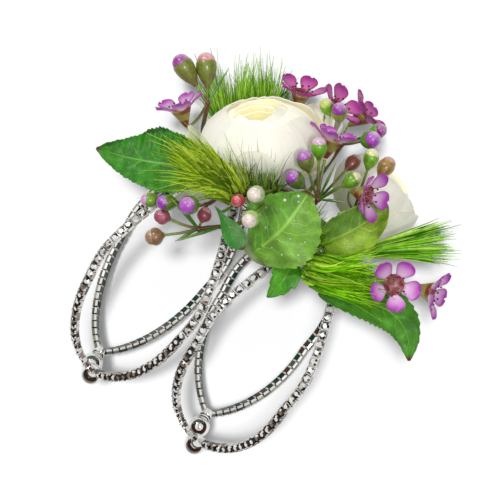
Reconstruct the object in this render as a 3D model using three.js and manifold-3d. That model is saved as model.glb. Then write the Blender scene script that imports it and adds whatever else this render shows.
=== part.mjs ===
// A wrist corsage: flowers and foliage glued to an oval plate, worn on two springy arms of
// crystal cup chain. Each arm is a pair of pointed loops side by side, and each loop ends in a
// polished ball. The wrist goes in between the balls of the front and the back arm.
// Millimetres. X runs along the flowers, -Y is the side that shows, +Z points away from the wrist.
// The origin is the middle of the wrist opening.

import * as THREE from "three";
import { mergeVertices } from "three/addons/utils/BufferGeometryUtils.js";
import Module from "manifold-3d";

const wasm = await Module();
wasm.setup();

// Points nearer to each other than this are one point
const weldDistance = 1e-4;

// Wrist opening, measured to the middle of the chain
const wristHalfHeight = 33.4;
const wristHalfDepth = 29.9;
const ringPowerShare = 1.13;

// Cup chain: square cups in a row, each with its stone on the outer face
const chainWidth = 2.25;
const chainThickness = 1.9;
const stonePitch = 2.2;
const chainNeck = 0.35;
const neckWidthShare = 0.74;
const neckThicknessShare = 0.55;

// Loops: two to an arm, pointed at the ball and narrowed again at the plate
const loopHalfWidth = 13;
const loopStartDegrees = 26;
const loopRootShare = 0.33;
const rootCurveShare = 1.85;
const tipCurveShare = 0.92;
const fullnessStartShare = 0.6;
const tipShiftStartShare = 0.3;
const armRootDepth = 18.3;
const tipSocketRadius = 1.5;
const tipSocketLength = 2;
const loopTable = [
  { name: "front_left_loop", arm: -1, side: -1, tipDegrees: 162, fullShare: 0.475, tipShiftShare: -0.08 },
  { name: "front_right_loop", arm: -1, side: 1, tipDegrees: 160, fullShare: 1.225, tipShiftShare: 0.28 },
  { name: "back_left_loop", arm: 1, side: -1, tipDegrees: 161, fullShare: 0.525, tipShiftShare: 0.14 },
  { name: "back_right_loop", arm: 1, side: 1, tipDegrees: 155, fullShare: 1.1, tipShiftShare: 0.12 },
];

// Tip balls
const ballRadius = 2.6;
const ballNeckRadius = 1.25;
const ballNeckLength = 1;

// Plate that the flowers are glued to, and the bars at its long edges that carry the arms
const rootBarRadius = 1;
const rootBarHalfLength = 21;
const plateHalfLength = 22;
const plateThickness = 1.2;
const plateCornerRadius = 6;
const coreHalfLength = 21;
const coreHalfDepth = 15.5;
const coreHeight = 2.6;

// Clearance between pieces that touch
const seatGap = 0.3;

// Reach of the spray: places among the flowers are shares of it
const sprayReach = 50;

// Ranunculus heads
const petalThickness = 0.7;
const whorlStepShare = 0.14;
const outerPetals = 5;
const outerRimDegrees = 130;
const rimStepDegrees = 6;
const openSideDegrees = 22;
const whorlTurnShare = 0.37;
const calyxRise = 3.6;
const ranunculusStemRadius = 1.3;
const sepalRadius = 2.2;

// Bristle tufts: a backing of small triangles, of which every other one carries a bristle
const bristleRows = 5;
const tuftBackingThickness = 2.2;
const tuftStemRadius = 0.9;
const shortBristleShare = 0.24;
const bristleMixAngle = 2.4;

// Leaves and stems
const leafThickness = 0.5;
const leafBellyShare = 0.8;
const leafSwellShare = 0.75;
const leafEndShare = 0.08;
const petioleRadius = 0.55;
const petioleEndShare = 0.1;
const stemRadius = 0.55;
const forkKnotRadius = 0.825;
const budNeckShare = 1.6;
const branchInsetShare = 0.2;
const branchRadius = 0.4;
const needleRadius = 0.45;

// Wax flowers
const flowerCupLength = 4.2;
const flowerCupRadius = 2.1;
const flowerCupWall = 0.5;
const petalHalfLength = 2.15;
const petalHalfWidth = 1.9;
const waxPetalThickness = 0.5;
const flowerFootRadius = 0.6;
const stamenHeight = 1.4;
const petalTilt = -0.42;
const petalHeightShare = 0.33;

const fullTurn = 2 * Math.PI;
const zAxis = new THREE.Vector3(0, 0, 1);
const yAxis = new THREE.Vector3(0, 1, 0);

// Materials
function finish(color, roughness, metalness) {
  return new THREE.MeshStandardMaterial({ color, roughness, metalness });
}
const crystalChain = () => finish(0xd9d9dc, 0.2, 0.9);
const polishedMetal = () => finish(0xcfd0d2, 0.08, 1);
const plateMetal = () => finish(0xb4b5b8, 0.35, 0.9);
const floralGlue = () => finish(0x5d7a44, 0.8, 0);
const ivoryPetal = () => finish(0xf3f1e4, 0.6, 0);
const creamPetal = () => finish(0xeee6b4, 0.6, 0);
const stemGreen = () => finish(0x6f8c33, 0.6, 0);
const bristleGreen = () => finish(0x7fb02e, 0.6, 0);
const leafGreen = () => finish(0x2f7d32, 0.5, 0);
const paleLeafGreen = () => finish(0x5f9f3c, 0.5, 0);
const waxPink = () => finish(0xc23fb5, 0.4, 0);

// Solids from geometries and back
function solidFrom(geometry) {
  const bare = geometry.clone();
  bare.deleteAttribute("normal");
  bare.deleteAttribute("uv");
  const merged = mergeVertices(bare, weldDistance);
  const index = merged.index.array;
  const triangles = [];
  for (let i = 0; i < index.length; i += 3) {
    const [a, b, c] = [index[i], index[i + 1], index[i + 2]];
    if (a !== b && b !== c && c !== a) triangles.push(a, b, c);
  }
  return new wasm.Manifold(
    new wasm.Mesh({
      numProp: 3,
      vertProperties: merged.attributes.position.array,
      triVerts: new Uint32Array(triangles),
    }),
  );
}

function geometryFrom(solid) {
  const mesh = solid.getMesh();
  const geometry = new THREE.BufferGeometry();
  geometry.setAttribute("position", new THREE.BufferAttribute(new Float32Array(mesh.vertProperties), 3));
  geometry.setIndex(new THREE.BufferAttribute(new Uint32Array(mesh.triVerts), 1));
  geometry.computeVertexNormals();
  return geometry;
}

function join(geometries) {
  return geometryFrom(geometries.map(solidFrom).reduce((whole, next) => whole.add(next)));
}

function named(name, geometry, material) {
  const mesh = new THREE.Mesh(geometry, material);
  mesh.name = name;
  return mesh;
}

// A closed geometry from points and triangles, turned so that its faces point out
function closedGeometry(points, triangles) {
  let volume = 0;
  const cross = new THREE.Vector3();
  for (const [a, b, c] of triangles) volume += points[a].dot(cross.crossVectors(points[b], points[c]));
  const index = triangles.flatMap(([a, b, c]) => (volume > 0 ? [a, b, c] : [a, c, b]));
  const geometry = new THREE.BufferGeometry().setFromPoints(points);
  geometry.setIndex(index);
  geometry.computeVertexNormals();
  return geometry;
}

// A skin over rings of points, closed flat or to a point at each end
function loft(rings, startPoint, endPoint) {
  const sides = rings[0].length;
  const points = rings.flat();
  const triangles = [];
  for (let i = 0; i + 1 < rings.length; i++) {
    for (let j = 0; j < sides; j++) {
      const a = i * sides + j;
      const b = i * sides + ((j + 1) % sides);
      triangles.push([a, b, b + sides], [a, b + sides, a + sides]);
    }
  }
  const last = (rings.length - 1) * sides;
  const close = (first, apex, flip) => {
    if (apex) points.push(apex);
    for (let j = 0; j < sides; j++) {
      const next = (j + 1) % sides;
      const corner = apex ? points.length - 1 : first;
      if (!apex && (j === 0 || next === 0)) continue;
      triangles.push(flip ? [corner, first + next, first + j] : [corner, first + j, first + next]);
    }
  };
  close(0, startPoint, true);
  close(last, endPoint, false);
  return closedGeometry(points, triangles);
}

// A round bar along a curve
function tube(curve, radius, steps, sides) {
  const section = new THREE.Shape();
  for (let i = 0; i < sides; i++) {
    const angle = (fullTurn * i) / sides;
    const [x, y] = [radius * Math.cos(angle), radius * Math.sin(angle)];
    if (i === 0) section.moveTo(x, y);
    else section.lineTo(x, y);
  }
  return new THREE.ExtrudeGeometry(section, { steps, extrudePath: curve, curveSegments: 1 });
}

function lathe(outline, sides) {
  const profile = outline.map(([r, z]) => new THREE.Vector2(r, z));
  return new THREE.LatheGeometry(profile, sides).rotateX(Math.PI / 2);
}

// Moves a geometry that points along +Z to a place and a direction
function aim(geometry, place, direction) {
  const turn = new THREE.Quaternion().setFromUnitVectors(zAxis, direction.clone().normalize());
  return geometry.applyQuaternion(turn).translate(place.x, place.y, place.z);
}


// Ring of the wrist opening: 0 degrees at the top, 180 at the bottom
function ringPoint(angle, arm) {
  const swell = (value) => Math.sign(value) * Math.abs(value) ** ringPowerShare;
  const y = arm * wristHalfDepth * swell(Math.sin(angle));
  const z = wristHalfHeight * swell(Math.cos(angle));
  return new THREE.Vector3(0, y, z);
}

function ringNormal(angle, arm) {
  const step = 1e-4;
  const along = ringPoint(angle + step, arm).sub(ringPoint(angle - step, arm));
  return new THREE.Vector3(0, -along.z, along.y).multiplyScalar(arm).normalize();
}

const rootAngle = Math.asin((armRootDepth / wristHalfDepth) ** (1 / ringPowerShare));
const rootHeight = ringPoint(rootAngle, 1).z;
const plateHalfDepth = armRootDepth - rootBarRadius - seatGap;
const plateTop = rootHeight + plateThickness / 2;
const loopCentre = loopHalfWidth + chainWidth / 2 + seatGap / 2;

// A place among the flowers, from its shares
function spray([x, y, z]) {
  return new THREE.Vector3(x, y, z).multiplyScalar(sprayReach).setZ(plateTop + z * sprayReach);
}

// Middle line of one strand: edge is 1 for the outer strand of a loop and -1 for the inner one
function strandPoint(loop, edge, angle) {
  const start = THREE.MathUtils.degToRad(loopStartDegrees);
  const tip = THREE.MathUtils.degToRad(loop.tipDegrees);
  const share = (angle - start) / (tip - start);
  const arch = Math.max(0, Math.sin(Math.PI * share));
  const rootWidth = loopRootShare + (1 - loopRootShare) * arch ** rootCurveShare;
  const widthShare = share < 0.5 ? rootWidth : arch ** tipCurveShare;
  const fullPart = THREE.MathUtils.clamp(share - fullnessStartShare, 0, 1 - fullnessStartShare);
  const fuller = 1 + loop.fullShare * fullPart;
  const shift = loop.tipShiftShare * loopHalfWidth * Math.max(0, share - tipShiftStartShare) ** 2;
  const point = ringPoint(angle, loop.arm);
  point.x = loop.side * (loopCentre + shift + edge * loopHalfWidth * widthShare * fuller);
  return point;
}

// Strand of cups: each cup has two square rings, and a narrow ring joins it to the next
function strand(loop, edge) {
  const fine = 600;
  const crowdShare = 1.3;
  const tip = THREE.MathUtils.degToRad(loop.tipDegrees);
  const path = [];
  for (let i = 0; i <= fine; i++) {
    const angle = rootAngle + (tip - rootAngle) * (1 - (1 - i / fine) ** crowdShare);
    path.push({ angle, point: strandPoint(loop, edge, angle) });
  }
  const lengths = [0];
  for (let i = 1; i <= fine; i++) {
    lengths.push(lengths[i - 1] + path[i].point.distanceTo(path[i - 1].point));
  }
  const first = rootBarRadius + seatGap;
  const count = Math.round((lengths[fine] - first) / stonePitch);
  const pitch = (lengths[fine] - first) / count;
  const ringAt = (length, widthShare, thicknessShare) => {
    let i = 1;
    while (i < fine && lengths[i] < length) i++;
    const blend = (length - lengths[i - 1]) / (lengths[i] - lengths[i - 1]);
    const centre = path[i - 1].point.clone().lerp(path[i].point, blend);
    const angle = THREE.MathUtils.lerp(path[i - 1].angle, path[i].angle, blend);
    const along = path[i].point.clone().sub(path[i - 1].point).normalize();
    const out = ringNormal(angle, loop.arm);
    const across = new THREE.Vector3().crossVectors(along, out).normalize();
    const halfWidth = (chainWidth * widthShare) / 2;
    const halfThickness = (chainThickness * thicknessShare) / 2;
    return [[1, 1], [-1, 1], [-1, -1], [1, -1]].map(([x, y]) =>
      centre.clone().addScaledVector(across, x * halfWidth).addScaledVector(out, y * halfThickness),
    );
  };
  const rings = [];
  for (let i = 0; i < count; i++) {
    const start = first + i * pitch;
    if (i > 0) rings.push(ringAt(start, neckWidthShare, neckThicknessShare));
    rings.push(ringAt(start + (i > 0 ? chainNeck / 2 : 0), 1, 1));
    rings.push(ringAt(start + pitch - chainNeck / 2, 1, 1));
  }
  return loft(rings);
}

function tipFrame(loop) {
  const tip = THREE.MathUtils.degToRad(loop.tipDegrees);
  const along = ringPoint(tip, loop.arm).sub(ringPoint(tip - 0.01, loop.arm)).normalize();
  return { place: strandPoint(loop, 1, tip), along };
}

function chainLoop(loop) {
  const { place, along } = tipFrame(loop);
  const socket = new THREE.CylinderGeometry(tipSocketRadius, tipSocketRadius, tipSocketLength, 8);
  socket.rotateX(Math.PI / 2);
  return join([strand(loop, 1), strand(loop, -1), aim(socket, place, along)]);
}

function tipBall(loop) {
  const { place, along } = tipFrame(loop);
  const outline = [[0, 0], [ballNeckRadius, 0], [ballNeckRadius, ballNeckLength]];
  const neckAngle = Math.asin(ballNeckRadius / ballRadius);
  const centre = ballNeckLength + ballRadius * Math.cos(neckAngle);
  const steps = 6;
  for (let i = 1; i <= steps; i++) {
    const angle = neckAngle + ((Math.PI - neckAngle) * i) / steps;
    outline.push([i === steps ? 0 : ballRadius * Math.sin(angle), centre - ballRadius * Math.cos(angle)]);
  }
  const ball = named(loop.name.replace("loop", "tip_ball"), lathe(outline, 10), polishedMetal());
  ball.position.copy(place).addScaledVector(along, tipSocketLength / 2 + seatGap);
  ball.quaternion.setFromUnitVectors(zAxis, along);
  return ball;
}

function rootBar(arm) {
  const bar = new THREE.CylinderGeometry(rootBarRadius, rootBarRadius, 2 * rootBarHalfLength, 12);
  const mesh = named(arm < 0 ? "front_root_bar" : "back_root_bar", bar, polishedMetal());
  mesh.rotation.z = Math.PI / 2;
  mesh.position.set(0, arm * armRootDepth, rootHeight);
  return mesh;
}

// Plate with rounded corners, and the low mound of floral adhesive on it
function basePlate() {
  const [x, y, r] = [plateHalfLength, plateHalfDepth, plateCornerRadius];
  const outline = new THREE.Shape();
  outline.absarc(x - r, y - r, r, 0, Math.PI / 2);
  outline.absarc(r - x, y - r, r, Math.PI / 2, Math.PI);
  outline.absarc(r - x, r - y, r, Math.PI, 1.5 * Math.PI);
  outline.absarc(x - r, r - y, r, 1.5 * Math.PI, fullTurn);
  const settings = { depth: plateThickness, bevelEnabled: false, curveSegments: 4 };
  const body = new THREE.ExtrudeGeometry(outline, settings);
  const mesh = named("base_plate", body, plateMetal());
  mesh.position.z = rootHeight - plateThickness / 2;
  return mesh;
}

function coreTop(x, y) {
  const inside = 1 - (x / coreHalfLength) ** 2 - (y / coreHalfDepth) ** 2;
  return plateTop + seatGap + coreHeight * Math.sqrt(Math.max(0, inside));
}

function glueCore() {
  const steps = 4;
  const outline = [[0, 0]];
  for (let i = 0; i <= steps; i++) {
    const angle = (Math.PI / 2) * (i / steps);
    outline.push([i === steps ? 0 : Math.cos(angle), Math.sin(angle)]);
  }
  const mesh = named("glue_core", lathe(outline, 18), floralGlue());
  mesh.geometry.scale(coreHalfLength, coreHalfDepth, coreHeight);
  mesh.position.z = plateTop + seatGap;
  return mesh;
}

// A stem that rises from the glue, passes over the edge of the plate and ends at a place
function stemCurve(footShares, shoulderShares, end) {
  const foot = new THREE.Vector3(footShares[0] * coreHalfLength, footShares[1] * coreHalfDepth, 0);
  foot.z = coreTop(foot.x, foot.y) + seatGap;
  const lift = foot.clone().add(new THREE.Vector3(0, 0, stemRadius));
  const points = [foot, lift, ...shoulderShares.map(spray), end];
  return new THREE.CatmullRomCurve3(points, false, "centripetal");
}

// Ranunculus: nested cups of wrapped petals round a heart, on a calyx and a stem
function whorl({ radius, depth, petals, rimDegrees, openDegrees, turnShare, sides }) {
  const waveShare = 0.06;
  const riseShare = 0.05;
  const rim = THREE.MathUtils.degToRad(rimDegrees);
  const open = THREE.MathUtils.degToRad(openDegrees);
  const ring = (share, inset) =>
    Array.from({ length: sides }, (_, i) => {
      const lapShare = ((i * petals) / sides + turnShare) % 1;
      const angle = (fullTurn * i) / sides;
      const openSide = Math.max(0, Math.cos(angle)) ** 2;
      const polar = share * (rim - open * openSide);
      const reach = (radius - inset) * Math.sin(polar) * (1 - waveShare * lapShare * share);
      const lift = riseShare * radius * share ** 4 * Math.sin(Math.PI * lapShare);
      const height = lift - (depth - inset) * Math.cos(polar);
      return new THREE.Vector3(reach * Math.cos(angle), reach * Math.sin(angle), height);
    });
  const levelShares = [0.36, 0.7, 1];
  const outer = levelShares.map((share) => ring(share, 0));
  const inner = levelShares.map((share) => ring(share, petalThickness)).reverse();
  const bottom = new THREE.Vector3(0, 0, -depth);
  const floor = new THREE.Vector3(0, 0, petalThickness - depth);
  return loft([...outer, ...inner], bottom, floor);
}

function petalHeart(radius, depth, sides) {
  const levelShares = [0.25, 0.5, 0.75, 0.92];
  const foldShare = 0.14;
  const mouthShare = 0.94;
  const dimpleShare = 0.86;
  const folds = 3;
  const rings = levelShares.map((share) =>
    Array.from({ length: sides }, (_, i) => {
      const folded = (i * folds) % sides < sides / 2;
      const angle = (fullTurn * i) / sides;
      const reach = radius * Math.sin(Math.PI * share * mouthShare) * (folded ? 1 - foldShare * share : 1);
      const height = -depth * Math.cos(Math.PI * share);
      return new THREE.Vector3(reach * Math.cos(angle), reach * Math.sin(angle), height);
    }),
  );
  return loft(rings, new THREE.Vector3(0, 0, -depth), new THREE.Vector3(0, 0, depth * dimpleShare));
}

function ranunculusCalyx(bottom, axis) {
  const lean = Math.hypot(axis.x, axis.y);
  const length = (calyxRise - 2 * seatGap - ranunculusStemRadius * lean) / axis.z;
  const outline = [
    [0, -length],
    [ranunculusStemRadius, -length],
    [ranunculusStemRadius, -length / 2],
    [sepalRadius, 0],
    [0, 0],
  ];
  return aim(lathe(outline, 10), bottom.clone().addScaledVector(axis, -seatGap), axis);
}

function ranunculus({ name, bottomShares, axisShares, radiusShare, depthShare, whorls, sides }) {
  const group = new THREE.Group();
  const axis = new THREE.Vector3(...axisShares).normalize();
  const radius = radiusShare * sprayReach;
  const depth = depthShare * radius;
  const bottom = new THREE.Vector3(bottomShares[0], bottomShares[1], 0).multiplyScalar(sprayReach);
  bottom.z = coreTop(bottom.x, bottom.y) + calyxRise;
  group.position.copy(bottom).addScaledVector(axis, depth);
  group.quaternion.setFromUnitVectors(zAxis, axis);
  for (let i = 0; i < whorls; i++) {
    const cup = whorl({
      radius: radius * (1 - i * whorlStepShare),
      depth: depth * (1 - i * whorlStepShare),
      petals: outerPetals - i,
      rimDegrees: outerRimDegrees + i * rimStepDegrees,
      openDegrees: openSideDegrees * (1 - i / whorls),
      turnShare: i * whorlTurnShare,
      sides,
    });
    group.add(named(`${name}_petals_${i + 1}`, cup, i < whorls - 1 ? ivoryPetal() : creamPetal()));
  }
  const heartShare = 1 - whorls * whorlStepShare;
  group.add(named(`${name}_heart`, petalHeart(radius * heartShare, depth * heartShare, 12), creamPetal()));
  const whole = new THREE.Group();
  whole.add(group);
  whole.add(named(`${name}_calyx`, ranunculusCalyx(bottom, axis), stemGreen()));
  return whole;
}

// Tuft of bristles that fan out from one point behind their backing, so none of them cross.
// The backing is a hexagon of triangles drawn round, and a bristle is a triangle raised to a point.
function tuft(row) {
  const { name, footShares, shoulderShares, baseShares, tipShares, spreadShare, flatShare, fanShare } = row;
  const base = spray(baseShares);
  const axis = spray(tipShares).sub(base);
  const length = axis.length();
  axis.normalize();
  const fan = fanShare * length;
  const across = new THREE.Vector3().crossVectors(axis, yAxis).normalize();
  const deep = new THREE.Vector3().crossVectors(axis, across).normalize();
  const source = base.clone().addScaledVector(axis, -fan);
  const at = (x, y, distance) =>
    axis
      .clone()
      .addScaledVector(across, spreadShare * x)
      .addScaledVector(deep, spreadShare * flatShare * y)
      .normalize()
      .multiplyScalar(distance)
      .add(source);
  const discPlace = (column, row) => {
    const third = -column - row;
    const size = Math.max(Math.abs(column), Math.abs(row), Math.abs(third));
    const x = column + row / 2;
    const y = (row * Math.sqrt(3)) / 2;
    const toCircle = size === 0 ? 0 : size / (bristleRows * Math.hypot(x, y));
    return [x * toCircle, y * toCircle];
  };
  const points = [];
  const triangles = [];
  const fronts = new Map();
  const front = (cell) => fronts.get(cell.join());
  const inside = (cells) => cells.every((cell) => fronts.has(cell.join()));
  const cells = [];
  for (let column = -bristleRows; column <= bristleRows; column++) {
    for (let row = -bristleRows; row <= bristleRows; row++) cells.push([column, row]);
  }
  for (const [column, row] of cells) {
    if (Math.abs(column + row) > bristleRows) continue;
    fronts.set([column, row].join(), points.length);
    points.push(at(...discPlace(column, row), fan));
  }
  const raise = (corners, order) => {
    const places = corners.map((cell) => discPlace(...cell));
    const middle = [0, 1].map((i) => (places[0][i] + places[1][i] + places[2][i]) / 3);
    const lengthShare = 1 - shortBristleShare * (0.5 - 0.5 * Math.cos(order * bristleMixAngle));
    points.push(at(...middle, fan + length * lengthShare));
    const apex = points.length - 1;
    corners.forEach((cell, i) => triangles.push([front(cell), front(corners[(i + 1) % 3]), apex]));
  };
  let bristles = 0;
  for (const [column, row] of cells) {
    const upper = [[column, row], [column + 1, row], [column, row + 1]];
    const lower = [[column + 1, row], [column + 1, row + 1], [column, row + 1]];
    if (inside(upper)) raise(upper, bristles++);
    if (inside(lower)) triangles.push(lower.map(front));
  }
  const rim = hexagonRim();
  const backFirst = points.length;
  for (const cell of rim) points.push(at(...discPlace(...cell), fan - tuftBackingThickness));
  points.push(at(0, 0, fan - tuftBackingThickness));
  const backMiddle = points.length - 1;
  rim.forEach((cell, i) => {
    const next = (i + 1) % rim.length;
    const [a, b, c, d] = [front(rim[next]), front(cell), backFirst + i, backFirst + next];
    triangles.push([a, b, c], [a, c, d], [d, c, backMiddle]);
  });
  const stemEnd = at(0, 0, fan - tuftBackingThickness / 2);
  const stem = tube(stemCurve(footShares, shoulderShares, stemEnd), tuftStemRadius, 6, 5);
  return named(name, join([closedGeometry(points, triangles), stem]), bristleGreen());
}

// Cells round the edge of the hexagon, in order
function hexagonRim() {
  const steps = [[-1, 1], [-1, 0], [0, -1], [1, -1], [1, 0], [0, 1]];
  const cells = [];
  let [column, row] = [bristleRows, 0];
  for (const [stepColumn, stepRow] of steps) {
    for (let i = 0; i < bristleRows; i++) {
      cells.push([column, row]);
      column += stepColumn;
      row += stepRow;
    }
  }
  return cells;
}

// Leaf: a folded blade with a toothed edge along a curved midrib, on its petiole
function leaf(row) {
  const { name, footShares, shoulderShares, faceShares, widthShare, foldShare, toothShare, pale } = row;
  const { bellyShare = leafBellyShare } = row;
  const midrib = new THREE.QuadraticBezierCurve3(
    spray(row.baseShares),
    spray(row.bendShares),
    spray(row.tipShares),
  );
  const face = new THREE.Vector3(...faceShares).normalize();
  const halfWidth = (widthShare * sprayReach) / 2;
  const rows = 6;
  const columnShares = [-1, -0.5, 0, 0.5, 1];
  const rowAt = (i) => {
    const share = i / rows;
    const centre = midrib.getPoint(share);
    const along = midrib.getTangent(share);
    const across = new THREE.Vector3().crossVectors(along, face).normalize();
    const out = new THREE.Vector3().crossVectors(across, along).normalize();
    const swell = Math.sin(Math.PI * share ** bellyShare) ** leafSwellShare;
    const tooth = 1 - toothShare * (i % 2);
    const reach = Math.max(leafEndShare, swell) * halfWidth * tooth;
    const at = (columnShare, side) =>
      centre
        .clone()
        .addScaledVector(across, columnShare * reach)
        .addScaledVector(out, Math.abs(columnShare) * reach * foldShare + (side * leafThickness) / 2);
    const upper = columnShares.map((share) => at(share, 1));
    const lower = columnShares.map((share) => at(share, -1));
    return [...upper, ...lower.reverse()];
  };
  const blade = loft(Array.from({ length: rows + 1 }, (_, i) => rowAt(i)));
  const petioleEnd = midrib.getPoint(petioleEndShare);
  const petiole = tube(stemCurve(footShares, shoulderShares, petioleEnd), petioleRadius, 5, 4);
  return named(name, join([blade, petiole]), pale ? paleLeafGreen() : leafGreen());
}

// Bud: a waxy cone with a round cap of folded petals, on a branch from the sprig's fork
function bud(place, direction, radius, neckShare) {
  const outlineShares = [[0, -neckShare], [0.34, -neckShare], [1, -0.05], [0.7, 0.85], [0, 1.15]];
  return aim(lathe(outlineShares.map(([r, z]) => [r * radius, z * radius]), 6), place, direction);
}

// A thin branch that arrives at its end in the given direction
function branch(from, to, direction) {
  const bendShare = 0.4;
  const bend = to.clone().addScaledVector(direction, -bendShare * from.distanceTo(to));
  return tube(new THREE.QuadraticBezierCurve3(from, bend, to), branchRadius, 3, 4);
}

function needle(from, to) {
  const axis = to.clone().sub(from);
  const length = axis.length();
  const [wideShare, narrowingShare] = [0.15, 0.6];
  const outline = [
    [0, 0],
    [needleRadius, length * wideShare],
    [needleRadius, length * narrowingShare],
    [0, length],
  ];
  return aim(lathe(outline, 4), from, axis);
}

function sprig(row) {
  const { name, footShares, shoulderShares, forkShares, budShares, flowerShares, needleShares } = row;
  const { neckShare = budNeckShare } = row;
  const fork = spray(forkShares);
  const parts = [tube(stemCurve(footShares, shoulderShares, fork), stemRadius, 6, 5)];
  parts.push(new THREE.OctahedronGeometry(forkKnotRadius).translate(fork.x, fork.y, fork.z));
  for (const [x, y, z, radiusShare] of budShares) {
    const place = spray([x, y, z]);
    const radius = radiusShare * sprayReach;
    const direction = place.clone().sub(fork).normalize();
    const branchEnd = place.clone().addScaledVector(direction, (branchInsetShare - neckShare) * radius);
    parts.push(bud(place, direction, radius, neckShare));
    parts.push(branch(fork, branchEnd, direction));
  }
  for (const { footPlace, facing } of flowerShares.map(flowerFrame)) {
    const end = footPlace.clone().addScaledVector(facing, -seatGap);
    parts.push(branch(fork, end, facing));
  }
  for (const place of needleShares) parts.push(needle(fork, spray(place)));
  return named(name, join(parts), stemGreen());
}

// Open wax flower: five round petals on a waxy cup, with stamens round a pistil
function flowerFrame({ centreShares, facingShares }) {
  const facing = new THREE.Vector3(...facingShares).normalize();
  return { footPlace: spray(centreShares).addScaledVector(facing, -flowerCupLength), facing };
}

function openFlower(name, place) {
  const inside = flowerCupRadius - flowerCupWall;
  const top = flowerCupLength + stamenHeight;
  const petalRootShare = 0.6;
  const petalStart = flowerCupRadius - petalRootShare * flowerCupWall;
  const outline = [
    [0, 0],
    [flowerFootRadius, 0],
    [flowerCupRadius, flowerCupLength],
    [flowerCupRadius, top],
    [inside, top],
    [inside, flowerCupLength],
    [0, flowerCupLength],
  ];
  const parts = [lathe(outline, 10)];
  const petals = 5;
  for (let i = 0; i < petals; i++) {
    const petal = new THREE.CylinderGeometry(petalHalfWidth, petalHalfWidth, waxPetalThickness, 6);
    petal.rotateX(Math.PI / 2).scale(petalHalfLength / petalHalfWidth, 1, 1);
    petal.translate(petalStart + petalHalfLength, 0, 0);
    petal.rotateY(petalTilt).translate(0, 0, flowerCupLength + petalHeightShare * stamenHeight);
    parts.push(petal.rotateZ((fullTurn * (i + 0.25)) / petals));
  }
  const { footPlace, facing } = flowerFrame(place);
  const mesh = named(name, join(parts), waxPink());
  mesh.position.copy(footPlace);
  mesh.quaternion.setFromUnitVectors(zAxis, facing);
  return mesh;
}

// Places in the spray are shares of its reach, from the middle of the plate's top, and the fourth
// number of a bud is its radius. Feet are shares of the adhesive's half length and half depth.
const ranunculusShares = [
  {
    name: "front_ranunculus",
    bottomShares: [-0.113, -0.158],
    axisShares: [-0.56, -0.28, 0.78],
    radiusShare: 0.3,
    depthShare: 0.65,
    whorls: 4,
    sides: 18,
  },
  {
    name: "back_ranunculus",
    bottomShares: [0.306, 0.093],
    axisShares: [0.3, 0.05, 0.95],
    radiusShare: 0.225,
    depthShare: 0.75,
    whorls: 3,
    sides: 14,
  },
];

const tuftShares = [
  {
    name: "top_bristle_tuft",
    footShares: [-0.381, 0.452],
    shoulderShares: [],
    baseShares: [-0.296, 0.32, 0.119],
    tipShares: [-0.52, 0.38, 0.451],
    spreadShare: 0.27,
    flatShare: 0.45,
    fanShare: 1,
  },
  {
    name: "left_bristle_tuft",
    footShares: [-0.42, -0.62],
    shoulderShares: [[-0.18, -0.35, 0.045], [-0.2, -0.47, 0.04]],
    baseShares: [-0.232, -0.61, 0.043],
    tipShares: [-0.57, -0.68, 0.041],
    spreadShare: 0.13,
    flatShare: 0.8,
    fanShare: 1.6,
  },
  {
    name: "front_bristle_tuft",
    footShares: [0.476, -0.581],
    shoulderShares: [[0.2, -0.42, 0.06], [0.24, -0.6, -0.04]],
    baseShares: [0.255, -0.77, -0.081],
    tipShares: [0.53, -0.77, 0.105],
    spreadShare: 0.052,
    flatShare: 0.8,
    fanShare: 5,
  },
  {
    name: "right_bristle_tuft",
    footShares: [0.714, -0.194],
    shoulderShares: [],
    baseShares: [0.484, -0.2, 0.105],
    tipShares: [0.75, -0.2, 0.371],
    spreadShare: 0.14,
    flatShare: 0.7,
    fanShare: 1,
  },
  {
    name: "inner_bristle_tuft",
    footShares: [-0.095, -0.645],
    shoulderShares: [[-0.08, -0.42, 0.08]],
    baseShares: [-0.112, -0.55, 0.087],
    tipShares: [-0.21, -0.58, 0.225],
    spreadShare: 0.24,
    flatShare: 0.3,
    fanShare: 1,
  },
];

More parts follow.
